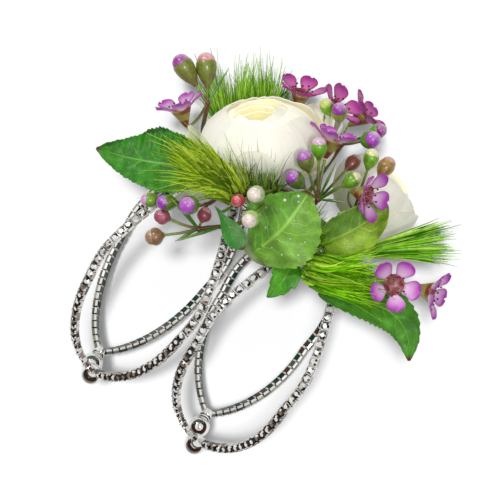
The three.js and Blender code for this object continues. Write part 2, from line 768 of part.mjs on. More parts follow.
const leafShares = [
  {
    name: "big_left_leaf",
    footShares: [-0.714, -0.71],
    shoulderShares: [[-0.36, -0.4, 0.047]],
    baseShares: [-0.388, -0.52, 0.051],
    bendShares: [-0.588, -0.56, -0.087],
    tipShares: [-0.832, -0.56, -0.149],
    faceShares: [-0.1, -0.9, 0.4],
    widthShare: 0.29,
    foldShare: 0.15,
    toothShare: 0.1,
    bellyShare: 0.62,
  },
  {
    name: "back_left_leaf",
    footShares: [-0.857, -0.129],
    shoulderShares: [],
    baseShares: [-0.51, -0.32, 0.045],
    bendShares: [-0.61, -0.42, -0.015],
    tipShares: [-0.72, -0.44, -0.089],
    faceShares: [-0.1, -0.8, 0.6],
    widthShare: 0.18,
    foldShare: 0.15,
    toothShare: 0.1,
  },
  {
    name: "low_right_leaf",
    footShares: [0.619, -0.452],
    shoulderShares: [[0.32, -0.4, 0.037]],
    baseShares: [0.366, -0.6, -0.123],
    bendShares: [0.728, -0.62, 0.123],
    tipShares: [0.866, -0.7, -0.123],
    faceShares: [0, -0.9, 0.4],
    widthShare: 0.2,
    foldShare: 0.15,
    toothShare: 0.14,
  },
  {
    name: "small_tip_leaf",
    footShares: [0.333, -0.645],
    shoulderShares: [[0.14, -0.44, 0.037]],
    baseShares: [0.18, -0.6, -0.075],
    bendShares: [0.228, -0.66, -0.155],
    tipShares: [0.182, -0.68, -0.251],
    faceShares: [0, -1, 0.1],
    widthShare: 0.17,
    foldShare: 0.2,
    toothShare: 0.1,
    pale: true,
  },
  {
    name: "round_front_leaf",
    footShares: [0, -0.645],
    shoulderShares: [[-0.03, -0.4, 0.097]],
    baseShares: [0.036, -0.62, -0.135],
    bendShares: [0.106, -0.735, 0.061],
    tipShares: [0.084, -0.64, 0.233],
    faceShares: [0, -0.95, 0.3],
    widthShare: 0.33,
    foldShare: -0.25,
    toothShare: 0.05,
    pale: true,
  },
  {
    name: "rolled_front_leaf",
    footShares: [0.619, -0.71],
    shoulderShares: [[0.25, -0.38, 0.097]],
    baseShares: [0.258, -0.48, 0.069],
    bendShares: [0.346, -0.54, 0.179],
    tipShares: [0.404, -0.4, 0.355],
    faceShares: [0, -1, 0],
    widthShare: 0.26,
    foldShare: 0.5,
    toothShare: 0,
    pale: true,
  },
  {
    name: "narrow_front_leaf",
    footShares: [-0.393, -0.871],
    shoulderShares: [[-0.17, -0.5, -0.01], [-0.2, -0.6, -0.06]],
    baseShares: [-0.24, -0.72, -0.033],
    bendShares: [-0.18, -0.78, -0.043],
    tipShares: [-0.06, -0.77, -0.103],
    faceShares: [0, -1, 0],
    widthShare: 0.08,
    foldShare: 0.2,
    toothShare: 0,
  },
  {
    name: "under_front_leaf",
    footShares: [0.143, -0.71],
    shoulderShares: [[0.05, -0.42, 0.057]],
    baseShares: [-0.06, -0.55, -0.093],
    bendShares: [0.02, -0.57, -0.123],
    tipShares: [0.12, -0.62, -0.143],
    faceShares: [0, -1, -0.2],
    widthShare: 0.07,
    foldShare: 0.2,
    toothShare: 0,
    pale: true,
  },
];

const sprigShares = [
  {
    name: "top_left_sprig",
    footShares: [-0.714, 0.194],
    shoulderShares: [[-0.46, 0.04, 0.057]],
    forkShares: [-0.54, 0, 0.217],
    neckShare: 2.2,
    budShares: [[-0.73, 0, 0.297, 0.05], [-0.645, 0.03, 0.357, 0.05]],
    flowerShares: [{ centreShares: [-0.622, -0.1, 0.135], facingShares: [-0.75, -0.1, 0.62] }],
    needleShares: [[-0.55, 0.06, 0.4]],
  },
  {
    name: "low_left_sprig",
    footShares: [-0.262, -0.645],
    shoulderShares: [[-0.1, -0.44, 0.037], [-0.1, -0.62, -0.043]],
    forkShares: [-0.246, -0.7, -0.165],
    budShares: [[-0.41, -0.7, -0.213, 0.04], [-0.255, -0.67, -0.103, 0.038], [-0.39, -0.72, -0.313, 0.041]],
    flowerShares: [],
    needleShares: [[-0.306, -0.76, -0.267], [-0.406, -0.8, -0.131]],
  },
  {
    name: "left_bud_sprig",
    footShares: [-0.48, -0.87],
    shoulderShares: [[-0.25, -0.43, 0.02], [-0.26, -0.56, -0.043]],
    forkShares: [-0.28, -0.62, -0.073],
    budShares: [[-0.5, -0.64, -0.193, 0.034], [-0.43, -0.72, -0.143, 0.038], [-0.34, -0.78, -0.083, 0.044]],
    flowerShares: [],
    needleShares: [],
  },
  {
    name: "front_bud_sprig",
    footShares: [0.119, -0.516],
    shoulderShares: [[0.02, -0.38, 0.157]],
    forkShares: [-0.045, -0.52, 0.168],
    budShares: [[-0.17, -0.74, 0.052, 0.03], [-0.12, -0.72, 0.117, 0.04], [-0.08, -0.8, 0.027, 0.04]],
    flowerShares: [],
    needleShares: [],
  },
  {
    name: "centre_sprig",
    footShares: [0.286, -0.387],
    shoulderShares: [[0.12, -0.34, 0.097]],
    forkShares: [0.13, -0.44, 0.207],
    budShares: [
      [-0.002, -0.46, 0.412, 0.038],
      [-0.022, -0.52, 0.337, 0.04],
      [-0.01, -0.52, 0.237, 0.04],
      [0.17, -0.3, 0.417, 0.034],
      [0.21, -0.42, 0.367, 0.036],
    ],
    flowerShares: [{ centreShares: [0.03, -0.4, 0.457], facingShares: [-0.25, 0.05, 0.95] }],
    needleShares: [[0.1, -0.46, 0.397], [0.19, -0.52, 0.357], [0.24, -0.5, 0.277]],
  },
  {
    name: "top_right_sprig",
    footShares: [0.214, 0.065],
    shoulderShares: [[0.09, 0, 0.297]],
    forkShares: [0.09, -0.02, 0.417],
    budShares: [
      [-0.07, -0.135, 0.54, 0.034],
      [-0.01, -0.18, 0.557, 0.04],
      [0.19, -0.12, 0.577, 0.036],
      [0.18, -0.2, 0.535, 0.038],
    ],
    flowerShares: [
      { centreShares: [-0.176, 0.08, 0.513], facingShares: [-0.5, 0.05, 0.8] },
      { centreShares: [-0.026, -0.04, 0.587], facingShares: [0, 0.1, 0.95] },
      { centreShares: [0.13, 0.14, 0.573], facingShares: [-0.08, 0.1, 0.97] },
    ],
    needleShares: [],
  },
  {
    name: "right_sprig",
    footShares: [0.714, -0.516],
    shoulderShares: [[0.34, -0.34, 0.097]],
    forkShares: [0.3, -0.34, 0.237],
    budShares: [[0.31, -0.22, 0.477, 0.04], [0.225, -0.34, 0.487, 0.036]],
    flowerShares: [{ centreShares: [0.292, -0.54, 0.363], facingShares: [0.75, -0.5, 0.35] }],
    needleShares: [],
  },
  {
    name: "low_right_sprig",
    footShares: [0.81, -0.323],
    shoulderShares: [[0.42, -0.32, 0.057]],
    forkShares: [0.5, -0.42, 0.037],
    budShares: [],
    flowerShares: [
      { centreShares: [0.61, -0.74, 0.132], facingShares: [0.12, -0.95, 0.2] },
      { centreShares: [0.8, -0.34, 0.127], facingShares: [0.9, -0.25, 0.3] },
    ],
    needleShares: [[0.66, -0.3, -0.083]],
  },
];

// The whole corsage
const corsage = new THREE.Group();
corsage.add(basePlate(), glueCore(), rootBar(-1), rootBar(1));
for (const loop of loopTable) corsage.add(named(loop.name, chainLoop(loop), crystalChain()), tipBall(loop));
for (const row of ranunculusShares) corsage.add(ranunculus(row));
for (const row of tuftShares) corsage.add(tuft(row));
for (const row of leafShares) corsage.add(leaf(row));
for (const row of sprigShares) corsage.add(sprig(row));
const flowers = sprigShares.flatMap((row) => row.flowerShares);
flowers.forEach((place, i) => corsage.add(openFlower(`wax_flower_${i + 1}`, place)));

export default corsage;
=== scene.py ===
import math
import random

import bpy
from mathutils import Matrix, Vector, noise


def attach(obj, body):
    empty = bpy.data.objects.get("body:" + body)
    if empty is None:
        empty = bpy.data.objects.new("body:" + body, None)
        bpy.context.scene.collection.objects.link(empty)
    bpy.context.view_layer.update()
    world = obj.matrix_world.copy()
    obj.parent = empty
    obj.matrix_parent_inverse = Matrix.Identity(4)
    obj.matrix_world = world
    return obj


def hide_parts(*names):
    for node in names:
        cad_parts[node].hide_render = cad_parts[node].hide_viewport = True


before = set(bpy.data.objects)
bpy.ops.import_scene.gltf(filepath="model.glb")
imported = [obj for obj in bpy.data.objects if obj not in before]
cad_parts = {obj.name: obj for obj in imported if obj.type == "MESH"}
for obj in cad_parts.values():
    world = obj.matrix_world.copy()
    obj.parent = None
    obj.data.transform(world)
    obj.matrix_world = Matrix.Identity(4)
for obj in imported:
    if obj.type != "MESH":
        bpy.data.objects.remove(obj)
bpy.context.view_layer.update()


# Camera: a long lens at the height of the flowers, turned on its side so that the corsage
# leans to the right. All places below are in millimetres and become metres through mm.
def linked(name, data):
    """A new object for some data, in the scene."""
    piece = bpy.data.objects.new(name, data)
    bpy.context.collection.objects.link(piece)
    return piece


mm = 0.001
view_right = Vector((0.827, 0.090, 0.555)).normalized()
view_back = Vector((-0.025, -0.980, 0.196)).normalized()
view_up = view_back.cross(view_right)
view_turn = Matrix((view_right, view_up, view_back)).transposed().to_4x4()
view_target = Vector((0.802, 0, 12.574)) * mm
view_distance = 621.7 * mm

lens = bpy.data.cameras.new("long_lens")
lens.sensor_width = 36
lens.lens = 188.8
lens.clip_start = 0.01
camera = linked("camera", lens)
camera.matrix_world = Matrix.Translation(view_target + view_back * view_distance) @ view_turn
bpy.context.scene.camera = camera
bpy.context.scene.view_settings.view_transform = "Standard"


# Stage: a white card behind the corsage that catches its soft shadow, a pale floor well below
# it and a white surround. The card lets the view through from behind, so it hides nothing.
def node(tree, kind, inputs=None, **settings):
    """A shader node. Each input is a value, or a socket or a node's first output to link."""
    made = tree.nodes.new(f"ShaderNode{kind}")
    for setting, value in settings.items():
        setattr(made, setting, value)
    for socket, value in (inputs or {}).items():
        if isinstance(value, bpy.types.Node):
            value = value.outputs[0]
        if isinstance(value, bpy.types.NodeSocket):
            tree.links.new(value, made.inputs[socket])
        else:
            made.inputs[socket].default_value = value
    return made


def principled(name, colour, roughness, more=None):
    material = bpy.data.materials.new(name)
    material.use_nodes = True
    shader = material.node_tree.nodes["Principled BSDF"]
    values = {"Base Color": (*colour, 1), "Roughness": roughness, **(more or {})}
    for socket, value in values.items():
        shader.inputs[socket].default_value = value
    return material, shader


card_size, card_depth, card_grey, card_glow = 3, 41 * mm, (0.45, 0.45, 0.45, 1), 0.05
bpy.ops.mesh.primitive_plane_add(size=card_size)
card = bpy.context.object
card.name = "white_card"
card.matrix_world = Matrix.Translation(view_target - view_back * card_depth) @ view_turn
card_material = bpy.data.materials.new("white_card")
card_material.use_nodes = True
tree = card_material.node_tree
matt = node(tree, "BsdfDiffuse", {"Color": card_grey})
glow = node(tree, "Emission", {"Strength": card_glow})
front = node(tree, "AddShader", {0: matt, 1: glow})
facing = node(tree, "NewGeometry").outputs["Backfacing"]
sides = node(tree, "MixShader", {0: facing, 1: front, 2: node(tree, "BsdfTransparent")})
tree.links.new(sides.outputs[0], tree.nodes["Material Output"].inputs["Surface"])
card.data.materials.append(card_material)
card.visible_diffuse = False
card.visible_shadow = False

floor_size, floor_height = 6, -95 * mm
bpy.ops.mesh.primitive_plane_add(size=floor_size, location=(0, 0, floor_height))
floor = bpy.context.object
floor.name = "floor"
floor_glow = {"Emission Color": (1, 1, 1, 1), "Emission Strength": 0.5}
floor_material, _ = principled("pale_floor", (0.8, 0.8, 0.8), 0.9, floor_glow)
floor.data.materials.append(floor_material)
floor.visible_diffuse = False
floor.visible_glossy = False

world = bpy.data.worlds.new("studio")
bpy.context.scene.world = world
world.use_nodes = True
tree = world.node_tree
backdrop = tree.nodes["Background"]
backdrop.inputs["Color"].default_value = (1, 1, 1, 1)
backdrop.inputs["Strength"].default_value = 1
soft_light = node(tree, "Background", {"Color": (0.97, 0.98, 1, 1), "Strength": 0.5})
rays = node(tree, "LightPath").outputs
seen = rays["Is Camera Ray"]
for kind in ("Is Glossy Ray", "Is Transmission Ray"):
    seen = node(tree, "Math", {0: seen, 1: rays[kind]}, operation="MAXIMUM")
world_mix = node(tree, "MixShader", {0: seen, 1: soft_light, 2: backdrop})
tree.links.new(world_mix.outputs[0], tree.nodes["World Output"].inputs["Surface"])


# Lamps: one from the upper left that shapes the flowers, a weaker one beside the lens, and two
# soft ones that light only the card, so that each piece shadows it to the lower right.
lamp_rows = (
    # name, strength, softness in degrees, right of the lens, above it, card left out or alone
    ("shape_lamp", 1.25, 12, -0.7, 0.95, "EXCLUDE"),
    ("lens_lamp", 1.0, 8, 0.15, -0.1, "EXCLUDE"),
    ("card_lamp", 3.1, 3.4, -0.04, 0.04, "INCLUDE"),
    ("halo_lamp", 2.25, 6, -0.02, 0.02, "INCLUDE"),
)
for name, strength, softness, right, up, state in lamp_rows:
    light = bpy.data.lights.new(name, "SUN")
    light.energy = strength
    light.angle = math.radians(softness)
    holder = linked(name, light)
    towards = (view_back + view_right * right + view_up * up).normalized()
    holder.rotation_euler = towards.to_track_quat("Z", "Y").to_euler()
    receivers = bpy.data.collections.new(f"{name}_receivers")
    receivers.objects.link(card)
    holder.light_linking.receiver_collection = receivers
    receivers.collection_objects[0].light_linking.link_state = state


# Dark room in front of the corsage, seen only by polished surfaces: half a globe, brown below and
# green above, with a round hole about the lens that leaves a bright spot in every chrome ball.
def tint_layer(mesh):
    layers = mesh.color_attributes
    return layers.get("tint") or layers.new("tint", "FLOAT_COLOR", "CORNER")


def paint(mesh, tone):
    """Tints every face corner with a colour or a tone(face centre, face normal), both linear."""
    layer = tint_layer(mesh)
    for face in mesh.polygons:
        colour = tone(face.center, face.normal) if callable(tone) else tone
        for corner in face.loop_indices:
            layer.data[corner].color = (*colour, 1)


room_radius, room_rim, hole_angle = 0.6, -0.02, math.radians(46)
room_hole = room_radius * math.cos(hole_angle)
ROOM_BROWN, ROOM_GREEN = (0.09, 0.05, 0.032), (0.18, 0.3, 0.22)
green_start, green_rise = 0.15, 0.4


def room_tone(centre, normal):
    return ROOM_GREEN if centre.y > green_start + green_rise * abs(centre.x) else ROOM_BROWN


bpy.ops.mesh.primitive_uv_sphere_add(segments=64, ring_count=48, radius=room_radius)
room = bpy.context.object
room.name = "dark_room"
bpy.ops.object.mode_set(mode="EDIT")
for cut, low in ((room_rim, True), (room_hole, False)):
    bpy.ops.mesh.select_all(action="SELECT")
    bpy.ops.mesh.bisect(
        plane_co=(0, 0, cut), plane_no=(0, 0, 1), clear_inner=low, clear_outer=not low
    )
bpy.ops.object.mode_set(mode="OBJECT")
paint(room.data, room_tone)
room.matrix_world = Matrix.Translation(view_target) @ view_turn
room_material, shader = principled("dark_room", ROOM_BROWN, 1, {"Specular IOR Level": 0})
tree = room_material.node_tree
room_tint = node(tree, "VertexColor", layer_name="tint")
tree.links.new(room_tint.outputs["Color"], shader.inputs["Base Color"])
room.data.materials.append(room_material)
room.visible_camera = False
room.visible_diffuse = False
room.visible_shadow = False
room.visible_transmission = False


# Base plate: a thin round-cornered steel plate, stamped and plated in satin silver. It carries
# everything else; the flowers are glued to its top and the arms hang from bars at its long edges.
def deselect():
    bpy.ops.object.select_all(action="DESELECT")


def choose(*pieces):
    deselect()
    for piece in pieces:
        piece.select_set(True)
    bpy.context.view_layer.objects.active = pieces[0]


def apply_all(piece):
    choose(piece)
    bpy.ops.object.transform_apply(location=True, rotation=True, scale=True)
    for modifier in list(piece.modifiers):
        bpy.ops.object.modifier_apply(modifier=modifier.name)


def smooth(degrees):
    bpy.ops.object.shade_smooth_by_angle(angle=math.radians(degrees))


def pattern_group(name, floats=()):
    """A node group from a colour and some floats to a colour and a height, and its two ends."""
    group = bpy.data.node_groups.new(name, "ShaderNodeTree")
    for way in ("INPUT", "OUTPUT"):
        group.interface.new_socket("Colour", in_out=way, socket_type="NodeSocketColor")
    for socket in floats:
        group.interface.new_socket(socket, in_out="INPUT", socket_type="NodeSocketFloat")
    group.interface.new_socket("Height", in_out="OUTPUT", socket_type="NodeSocketFloat")
    return group, group.nodes.new("NodeGroupInput"), group.nodes.new("NodeGroupOutput")


def tone_by(group, source, drain, value, low, high):
    """Scales the colour from low to high as the value runs over the middle of its range."""
    span = {"From Min": 0.3, "From Max": 0.7, "To Min": low, "To Max": high}
    level = node(group, "MapRange", {"Value": value, **span})
    sockets = {0: source.outputs["Colour"], "Scale": level}
    scaled = node(group, "VectorMath", sockets, operation="SCALE")
    group.links.new(scaled.outputs[0], drain.inputs["Colour"])
    group.links.new(value.outputs[0], drain.inputs["Height"])


def finish(name, colour, roughness, group, values=None, relief=0.0, more=None):
    """A material whose colour, or painted tint where that is None, runs through a pattern group.
    values are the group's inputs, relief is in metres, more sets other sockets of the shader."""
    material, shader = principled(name, colour or (1, 1, 1), roughness, more)
    tree = material.node_tree
    source = (*colour, 1) if colour else node(tree, "VertexColor", layer_name="tint")
    pattern = node(tree, "Group", {"Colour": source, **(values or {})}, node_tree=group)
    tree.links.new(pattern.outputs["Colour"], shader.inputs["Base Color"])
    if relief:
        bump = node(tree, "Bump", {"Distance": relief, "Height": pattern.outputs["Height"]})
        tree.links.new(bump.outputs["Normal"], shader.inputs["Normal"])
    # Where more sets an emission strength, the surface glows in its own colour though it is no lamp: painted
    # light.
    if "Emission Strength" in (more or {}):
        tree.links.new(pattern.outputs["Colour"], shader.inputs["Emission Color"])
    return material


# Cloudy change of tone between Low and High, and a fine relief, for every finish but the petals'
mottle, source, drain = pattern_group("mottle", ("Low", "High", "Scale"))
place = node(mottle, "TexCoord").outputs["Object"]
cloud = node(mottle, "TexNoise", {"Vector": place, "Scale": source.outputs["Scale"], "Detail": 4})
tone_by(mottle, source, drain, cloud, source.outputs["Low"], source.outputs["High"])

plate_half_length, plate_half_depth, plate_corner = 22 * mm, 17 * mm, 6 * mm
plate_bottom, plate_top, plate_rim = 23.97 * mm, 25.17 * mm, 0.35 * mm
plate_grain = {"Low": 0.85, "High": 1.08, "Scale": 900}
plate_metal = finish(
    "plate_metal", (0.55, 0.55, 0.56), 0.34, mottle, plate_grain, 0.02 * mm, {"Metallic": 1}
)

deselect()
bpy.ops.mesh.primitive_cube_add(size=1, location=(0, 0, (plate_bottom + plate_top) / 2))
plate = bpy.context.object
plate.name = "satin_plate"
plate.scale = (2 * plate_half_length, 2 * plate_half_depth, plate_top - plate_bottom)
apply_all(plate)
bpy.ops.object.mode_set(mode="EDIT")
bpy.ops.mesh.select_mode(type="EDGE")
bpy.ops.mesh.select_all(action="DESELECT")
bpy.ops.object.mode_set(mode="OBJECT")
for edge in plate.data.edges:
    first, last = (plate.data.vertices[i].co for i in edge.vertices)
    edge.select = abs(first.z - last.z) > plate_rim
bpy.ops.object.mode_set(mode="EDIT")
bpy.ops.mesh.bevel(offset=plate_corner, segments=8)
bpy.ops.mesh.select_mode(type="FACE")
bpy.ops.object.mode_set(mode="OBJECT")
rim = plate.modifiers.new("rim", "BEVEL")
rim.width = plate_rim
rim.segments = 3
rim.angle_limit = math.radians(50)
apply_all(plate)
smooth(35)
plate.data.materials.append(plate_metal)
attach(plate, "spray")
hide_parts("base_plate")


# Floral adhesive: a low mound of matt green glue and wrapped stem ends on the plate. It is
# poured on by hand, so its surface is lumpy, and every stem ends in it.
core_half_length, core_half_depth, core_height = 21 * mm, 15.5 * mm, 2.6 * mm
core_bottom = plate_top + 0.3 * mm
core_lumps, lumps_across, lumps_deep, lumps_high = 0.35 * mm, 5, 4, 3
glue_grain = {"Low": 0.6, "High": 1.3, "Scale": 500}
glue = finish("floral_glue", (0.10, 0.19, 0.05), 0.75, mottle, glue_grain, 0.3 * mm)


def core_top(x, y):
    inside = 1 - (x / core_half_length) ** 2 - (y / core_half_depth) ** 2
    return core_bottom + core_height * math.sqrt(max(0.0, inside))


deselect()
bpy.ops.mesh.primitive_uv_sphere_add(segments=64, ring_count=32, radius=1)
core = bpy.context.object
core.name = "lumpy_glue"
bpy.ops.object.mode_set(mode="EDIT")
bpy.ops.mesh.select_all(action="SELECT")
bpy.ops.mesh.bisect(plane_co=(0, 0, 0.001), plane_no=(0, 0, 1), use_fill=True, clear_inner=True)
bpy.ops.object.mode_set(mode="OBJECT")
for vertex in core.data.vertices:
    co = vertex.co
    lump = noise.noise(Vector((co.x * lumps_across, co.y * lumps_deep, co.z * lumps_high)))
    co.x *= core_half_length
    co.y *= core_half_depth
    co.z = core_bottom + co.z * core_height + (lump - 0.4) * core_lumps * min(1, co.z * 4)
apply_all(core)
smooth(50)
core.data.materials.append(glue)
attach(core, "spray")
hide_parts("glue_core")


# Root bars: round plated rods soldered along the long edges of the plate, one to an arm. The
# four strands of an arm start on it, and it is what the arm turns about when the cuff opens.
root_depth, root_height = 18.3 * mm, 24.57 * mm
bar_radius, bar_half_length, bar_end_round = 1 * mm, 21 * mm, 0.5 * mm
polish_grain = {"Low": 0.97, "High": 1.02, "Scale": 600}
polished = finish(
    "polished_metal", (0.74, 0.73, 0.71), 0.06, mottle, polish_grain, 0.004 * mm, {"Metallic": 1}
)

for arm, name in ((-1, "front"), (1, "back")):
    deselect()
    bpy.ops.mesh.primitive_cylinder_add(
        vertices=32,
        radius=bar_radius,
        depth=2 * bar_half_length,
        location=(0, arm * root_depth, root_height),
        rotation=(0, math.pi / 2, 0),
    )
    bar = bpy.context.object
    bar.name = f"{name}_bar"
    ends = bar.modifiers.new("ends", "BEVEL")
    ends.width = bar_end_round
    ends.segments = 4
    apply_all(bar)
    smooth(40)
    bar.data.materials.append(polished)
    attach(bar, f"{name}_arm")
    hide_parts(f"{name}_root_bar")


# Crystal cup chain: square silver cups in a row, each with four claws over a round faceted
# stone, joined by a small tab. The stones face out and the polished floors of the cups face in.
wrist_half_height, wrist_half_depth, ring_power = 33.4, 29.9, 1.13
loop_half_width, loop_centre, loop_start = 13, 14.275, math.radians(26)
loop_root_share, root_curve, tip_curve = 0.33, 1.85, 0.92
belly_start, belly_most, shift_start = 0.6, 0.4, 0.3
loop_rows = (
    # name, arm, side, tip in degrees, how full the belly is, how far the tip shifts outward
    ("front_left", -1, -1, 162, 0.475, -0.08),
    ("front_right", -1, 1, 160, 1.225, 0.28),
    ("back_left", 1, -1, 161, 0.525, 0.14),
    ("back_right", 1, 1, 155, 1.1, 0.12),
)
cup_pitch, first_cup, fine_steps, fine_crowding = 2.1, 1.3, 900, 1.3
strand_gap, low_line = 1.9 * mm, -8 * mm
cup_width, cup_length, cup_height, cup_bottom = 2.2 * mm, 1.84 * mm, 1.25 * mm, -0.92 * mm
cup_edge, cup_wall, cup_well, cup_taper = 0.1 * mm, 0.1 * mm, 0.35 * mm, 0.3 * mm
floor_inset, floor_share, floor_length_share = 0.02 * mm, 0.72, 0.96
back_twist, front_twist, ring_step = math.radians(40), math.radians(27), 0.001
lower_right = (view_right - view_up).normalized()
stone_radius, stone_table, stone_crown = 0.94 * mm, 0.5 * mm, 0.42 * mm
stone_sink, stone_foot, stone_reach = 0.18 * mm, cup_bottom + cup_height - 0.1 * mm, 0.9 * mm
claw_foot, claw_point, claw_length, claw_rise = 0.26 * mm, 0.1 * mm, 0.5 * mm, 0.12 * mm
claw_places = [(x * mm, y * mm) for x in (-0.86, 0.86) for y in (-0.76, 0.76)]
tab_size, tab_rise = (0.9 * mm, 0.5 * mm, 0.4 * mm), 0.35 * mm
wide_floor, end_start = 0.8 * mm * mm, 0.7 * mm

# Tones drawn by chance for a stone's facets, a cup's sides and its metal, then its floor's. Apart
# from the silver they are painted light and shade: white facets are painted glints, near-black ones
# and the darker side and metal tones painted dark reflections, the floors' greens and browns a
# painted reflection of the dark room. The near-black tone is painted shade between the cups and in
# their wells, the near-white floor edge a painted highlight on each floor's chamfer. The low ones are
# darker painted shade for the front cups below low_line, which look into the darker part of the room.
SILVER, GAP_SHADE, FLOOR_EDGE_HIGHLIGHT = (0.92, 0.9, 0.86), (0.015, 0.01, 0.007), (1, 0.99, 0.96)
HIGH_LIT_TONES = (
    ((1, 1, 1), (1, 1, 1), (0.7, 0.67, 0.6),
     (0.2, 0.17, 0.13), (0.04, 0.03, 0.02), (0.02, 0.012, 0.008)),
    ((0.24, 0.22, 0.17), (0.13, 0.11, 0.08), (0.36, 0.34, 0.28)),
    (SILVER, SILVER, SILVER, (0.42, 0.38, 0.33)),
)
LOW_SHADED_TONES = (
    ((1, 1, 1), (1, 0.97, 0.92), (0.3, 0.23, 0.18),
     (0.06, 0.035, 0.02), (0.03, 0.018, 0.01), (0.02, 0.01, 0.006)),
    ((0.8, 0.77, 0.72), (0.3, 0.26, 0.21), (0.06, 0.045, 0.035)),
    (SILVER, SILVER, (0.32, 0.25, 0.2)),
)
FLOOR_REFLECTIONS = ((0.01, 0.035, 0.02), (0.015, 0.06, 0.035), (0.07, 0.09, 0.07))
FLOOR_REFLECTIONS += ((0.09, 0.05, 0.035), (0.13, 0.13, 0.11))
chain_grain = {"Low": 0.97, "High": 1.03, "Scale": 2500}
chain_metal = finish("crystal_chain", None, 0.1, mottle, chain_grain, more={"Metallic": 0.25})


def swell(value):
    return math.copysign(abs(value) ** ring_power, value)


def ring_point(angle, arm):
    y = arm * wrist_half_depth * swell(math.sin(angle))
    return Vector((0, y, wrist_half_height * swell(math.cos(angle))))


def strand_point(row, edge, angle):
    _, arm, side, tip, full, tip_shift = row
    share = (angle - loop_start) / (math.radians(tip) - loop_start)
    arch = max(0.0, math.sin(math.pi * share))
    root_width = loop_root_share + (1 - loop_root_share) * arch**root_curve
    width = root_width if share < 0.5 else arch**tip_curve
    fuller = 1 + full * min(max(share - belly_start, 0), belly_most)
    shift = tip_shift * loop_half_width * max(0, share - shift_start) ** 2
    point = ring_point(angle, arm)
    point.x = side * (loop_centre + shift + edge * loop_half_width * width * fuller)
    return point


def edit_faces(piece, test):
    """In edit mode, chooses only the faces whose normal passes a test."""
    bpy.ops.mesh.select_all(action="DESELECT")
    bpy.ops.object.mode_set(mode="OBJECT")
    for face in piece.data.polygons:
        face.select = test(face.normal)
    bpy.ops.object.mode_set(mode="EDIT")


# Painted shade in near-black on a cup's end faces and in its well, a painted highlight in near-white on the
# floor's chamfers, silver elsewhere.
def cup_tone(centre, normal):
    if abs(normal.y) > 0.6 or (normal.z > 0.9 and abs(centre.x) + abs(centre.y) < cup_edge):
        return GAP_SHADE
    return FLOOR_EDGE_HIGHLIGHT if -0.95 < normal.z < -0.3 else SILVER


def crystal_cup():
    """One cup with its stone, its middle at the origin, the stone towards +Z, the chain along Y."""
    deselect()
    middle = cup_bottom + (cup_height + cup_taper) / 2
    bpy.ops.mesh.primitive_cube_add(size=1, location=(0, 0, middle))
    cup = bpy.context.object
    cup.scale = (cup_width, cup_length, cup_height - cup_taper)
    apply_all(cup)
    bpy.ops.object.mode_set(mode="EDIT")
    bpy.ops.mesh.select_mode(type="FACE")
    bpy.ops.mesh.select_all(action="SELECT")
    bpy.ops.mesh.bevel(offset=cup_edge, segments=1)
    edit_faces(cup, lambda normal: normal.z < -0.9)
    bpy.ops.mesh.inset(thickness=floor_inset)
    bpy.ops.transform.resize(value=(floor_share, floor_length_share, 1))
    bpy.ops.transform.translate(value=(0, 0, -cup_taper))
    edit_faces(cup, lambda normal: normal.z > 0.9)
    bpy.ops.mesh.inset(thickness=cup_wall)
    bpy.ops.transform.translate(value=(0, 0, -cup_well))
    bpy.ops.object.mode_set(mode="OBJECT")
    paint(cup.data, cup_tone)

    bpy.ops.mesh.primitive_cone_add(
        vertices=8,
        radius1=stone_radius,
        radius2=stone_table,
        depth=stone_crown,
        location=(0, 0, cup_bottom + cup_height + stone_crown / 2 - stone_sink),
        rotation=(0, 0, math.radians(22.5)),
    )
    pieces = [cup, bpy.context.object]
    apply_all(pieces[-1])
    paint(pieces[-1].data, (1, 1, 1))
    for x, y in claw_places:
        bpy.ops.mesh.primitive_cone_add(
            vertices=4,
            radius1=claw_foot,
            radius2=claw_point,
            depth=claw_length,
            location=(x, y, cup_bottom + cup_height + claw_rise),
        )
        pieces.append(bpy.context.object)
    tab_place = (0, cup_pitch * mm / 2, cup_bottom + tab_rise)
    bpy.ops.mesh.primitive_cube_add(size=1, location=tab_place)
    pieces.append(bpy.context.object)
    pieces[-1].scale = tab_size
    for piece in pieces[2:]:
        apply_all(piece)
        paint(piece.data, SILVER)
    choose(*pieces)
    bpy.ops.object.join()
    return cup


def cup_places(row, edge):
    """Places and turns of the cups of one strand, root to tip, at the chain's own pitch."""
    _, arm, side, tip_degrees, _, _ = row
    root = math.asin((root_depth / mm / wrist_half_depth) ** (1 / ring_power))
    tip = math.radians(tip_degrees)
    middle = ring_point((loop_start + tip) / 2, arm)
    middle.x = side * loop_centre
    shares = [1 - (1 - i / fine_steps) ** fine_crowding for i in range(fine_steps + 1)]
    angles = [root + (tip - root) * share for share in shares]
    points = [strand_point(row, edge, angle) for angle in angles]
    travelled, wanted, places = 0.0, first_cup + cup_pitch / 2, []
    for i in range(1, fine_steps + 1):
        step = points[i] - points[i - 1]
        travelled += step.length
        if travelled < wanted:
            continue
        wanted += cup_pitch
        along = step.normalized()
        tangent = ring_point(angles[i], arm) - ring_point(angles[i] - ring_step, arm)
        out = Vector((0, -tangent.z, tangent.y)).normalized() * arm
        across = along.cross(out).normalized()
        out = across.cross(along).normalized()
        if arm > 0:
            inward = (middle - points[i]).dot(across)
            lean = math.copysign(back_twist, inward)
        else:
            lean = front_twist * across.dot(lower_right)
        out = out * math.cos(lean) - across * math.sin(lean)
        across = along.cross(out).normalized()
        turn = Matrix((across, along, out)).transposed().to_4x4()
        places.append(Matrix.Translation(points[i] * mm) @ turn)
    return places


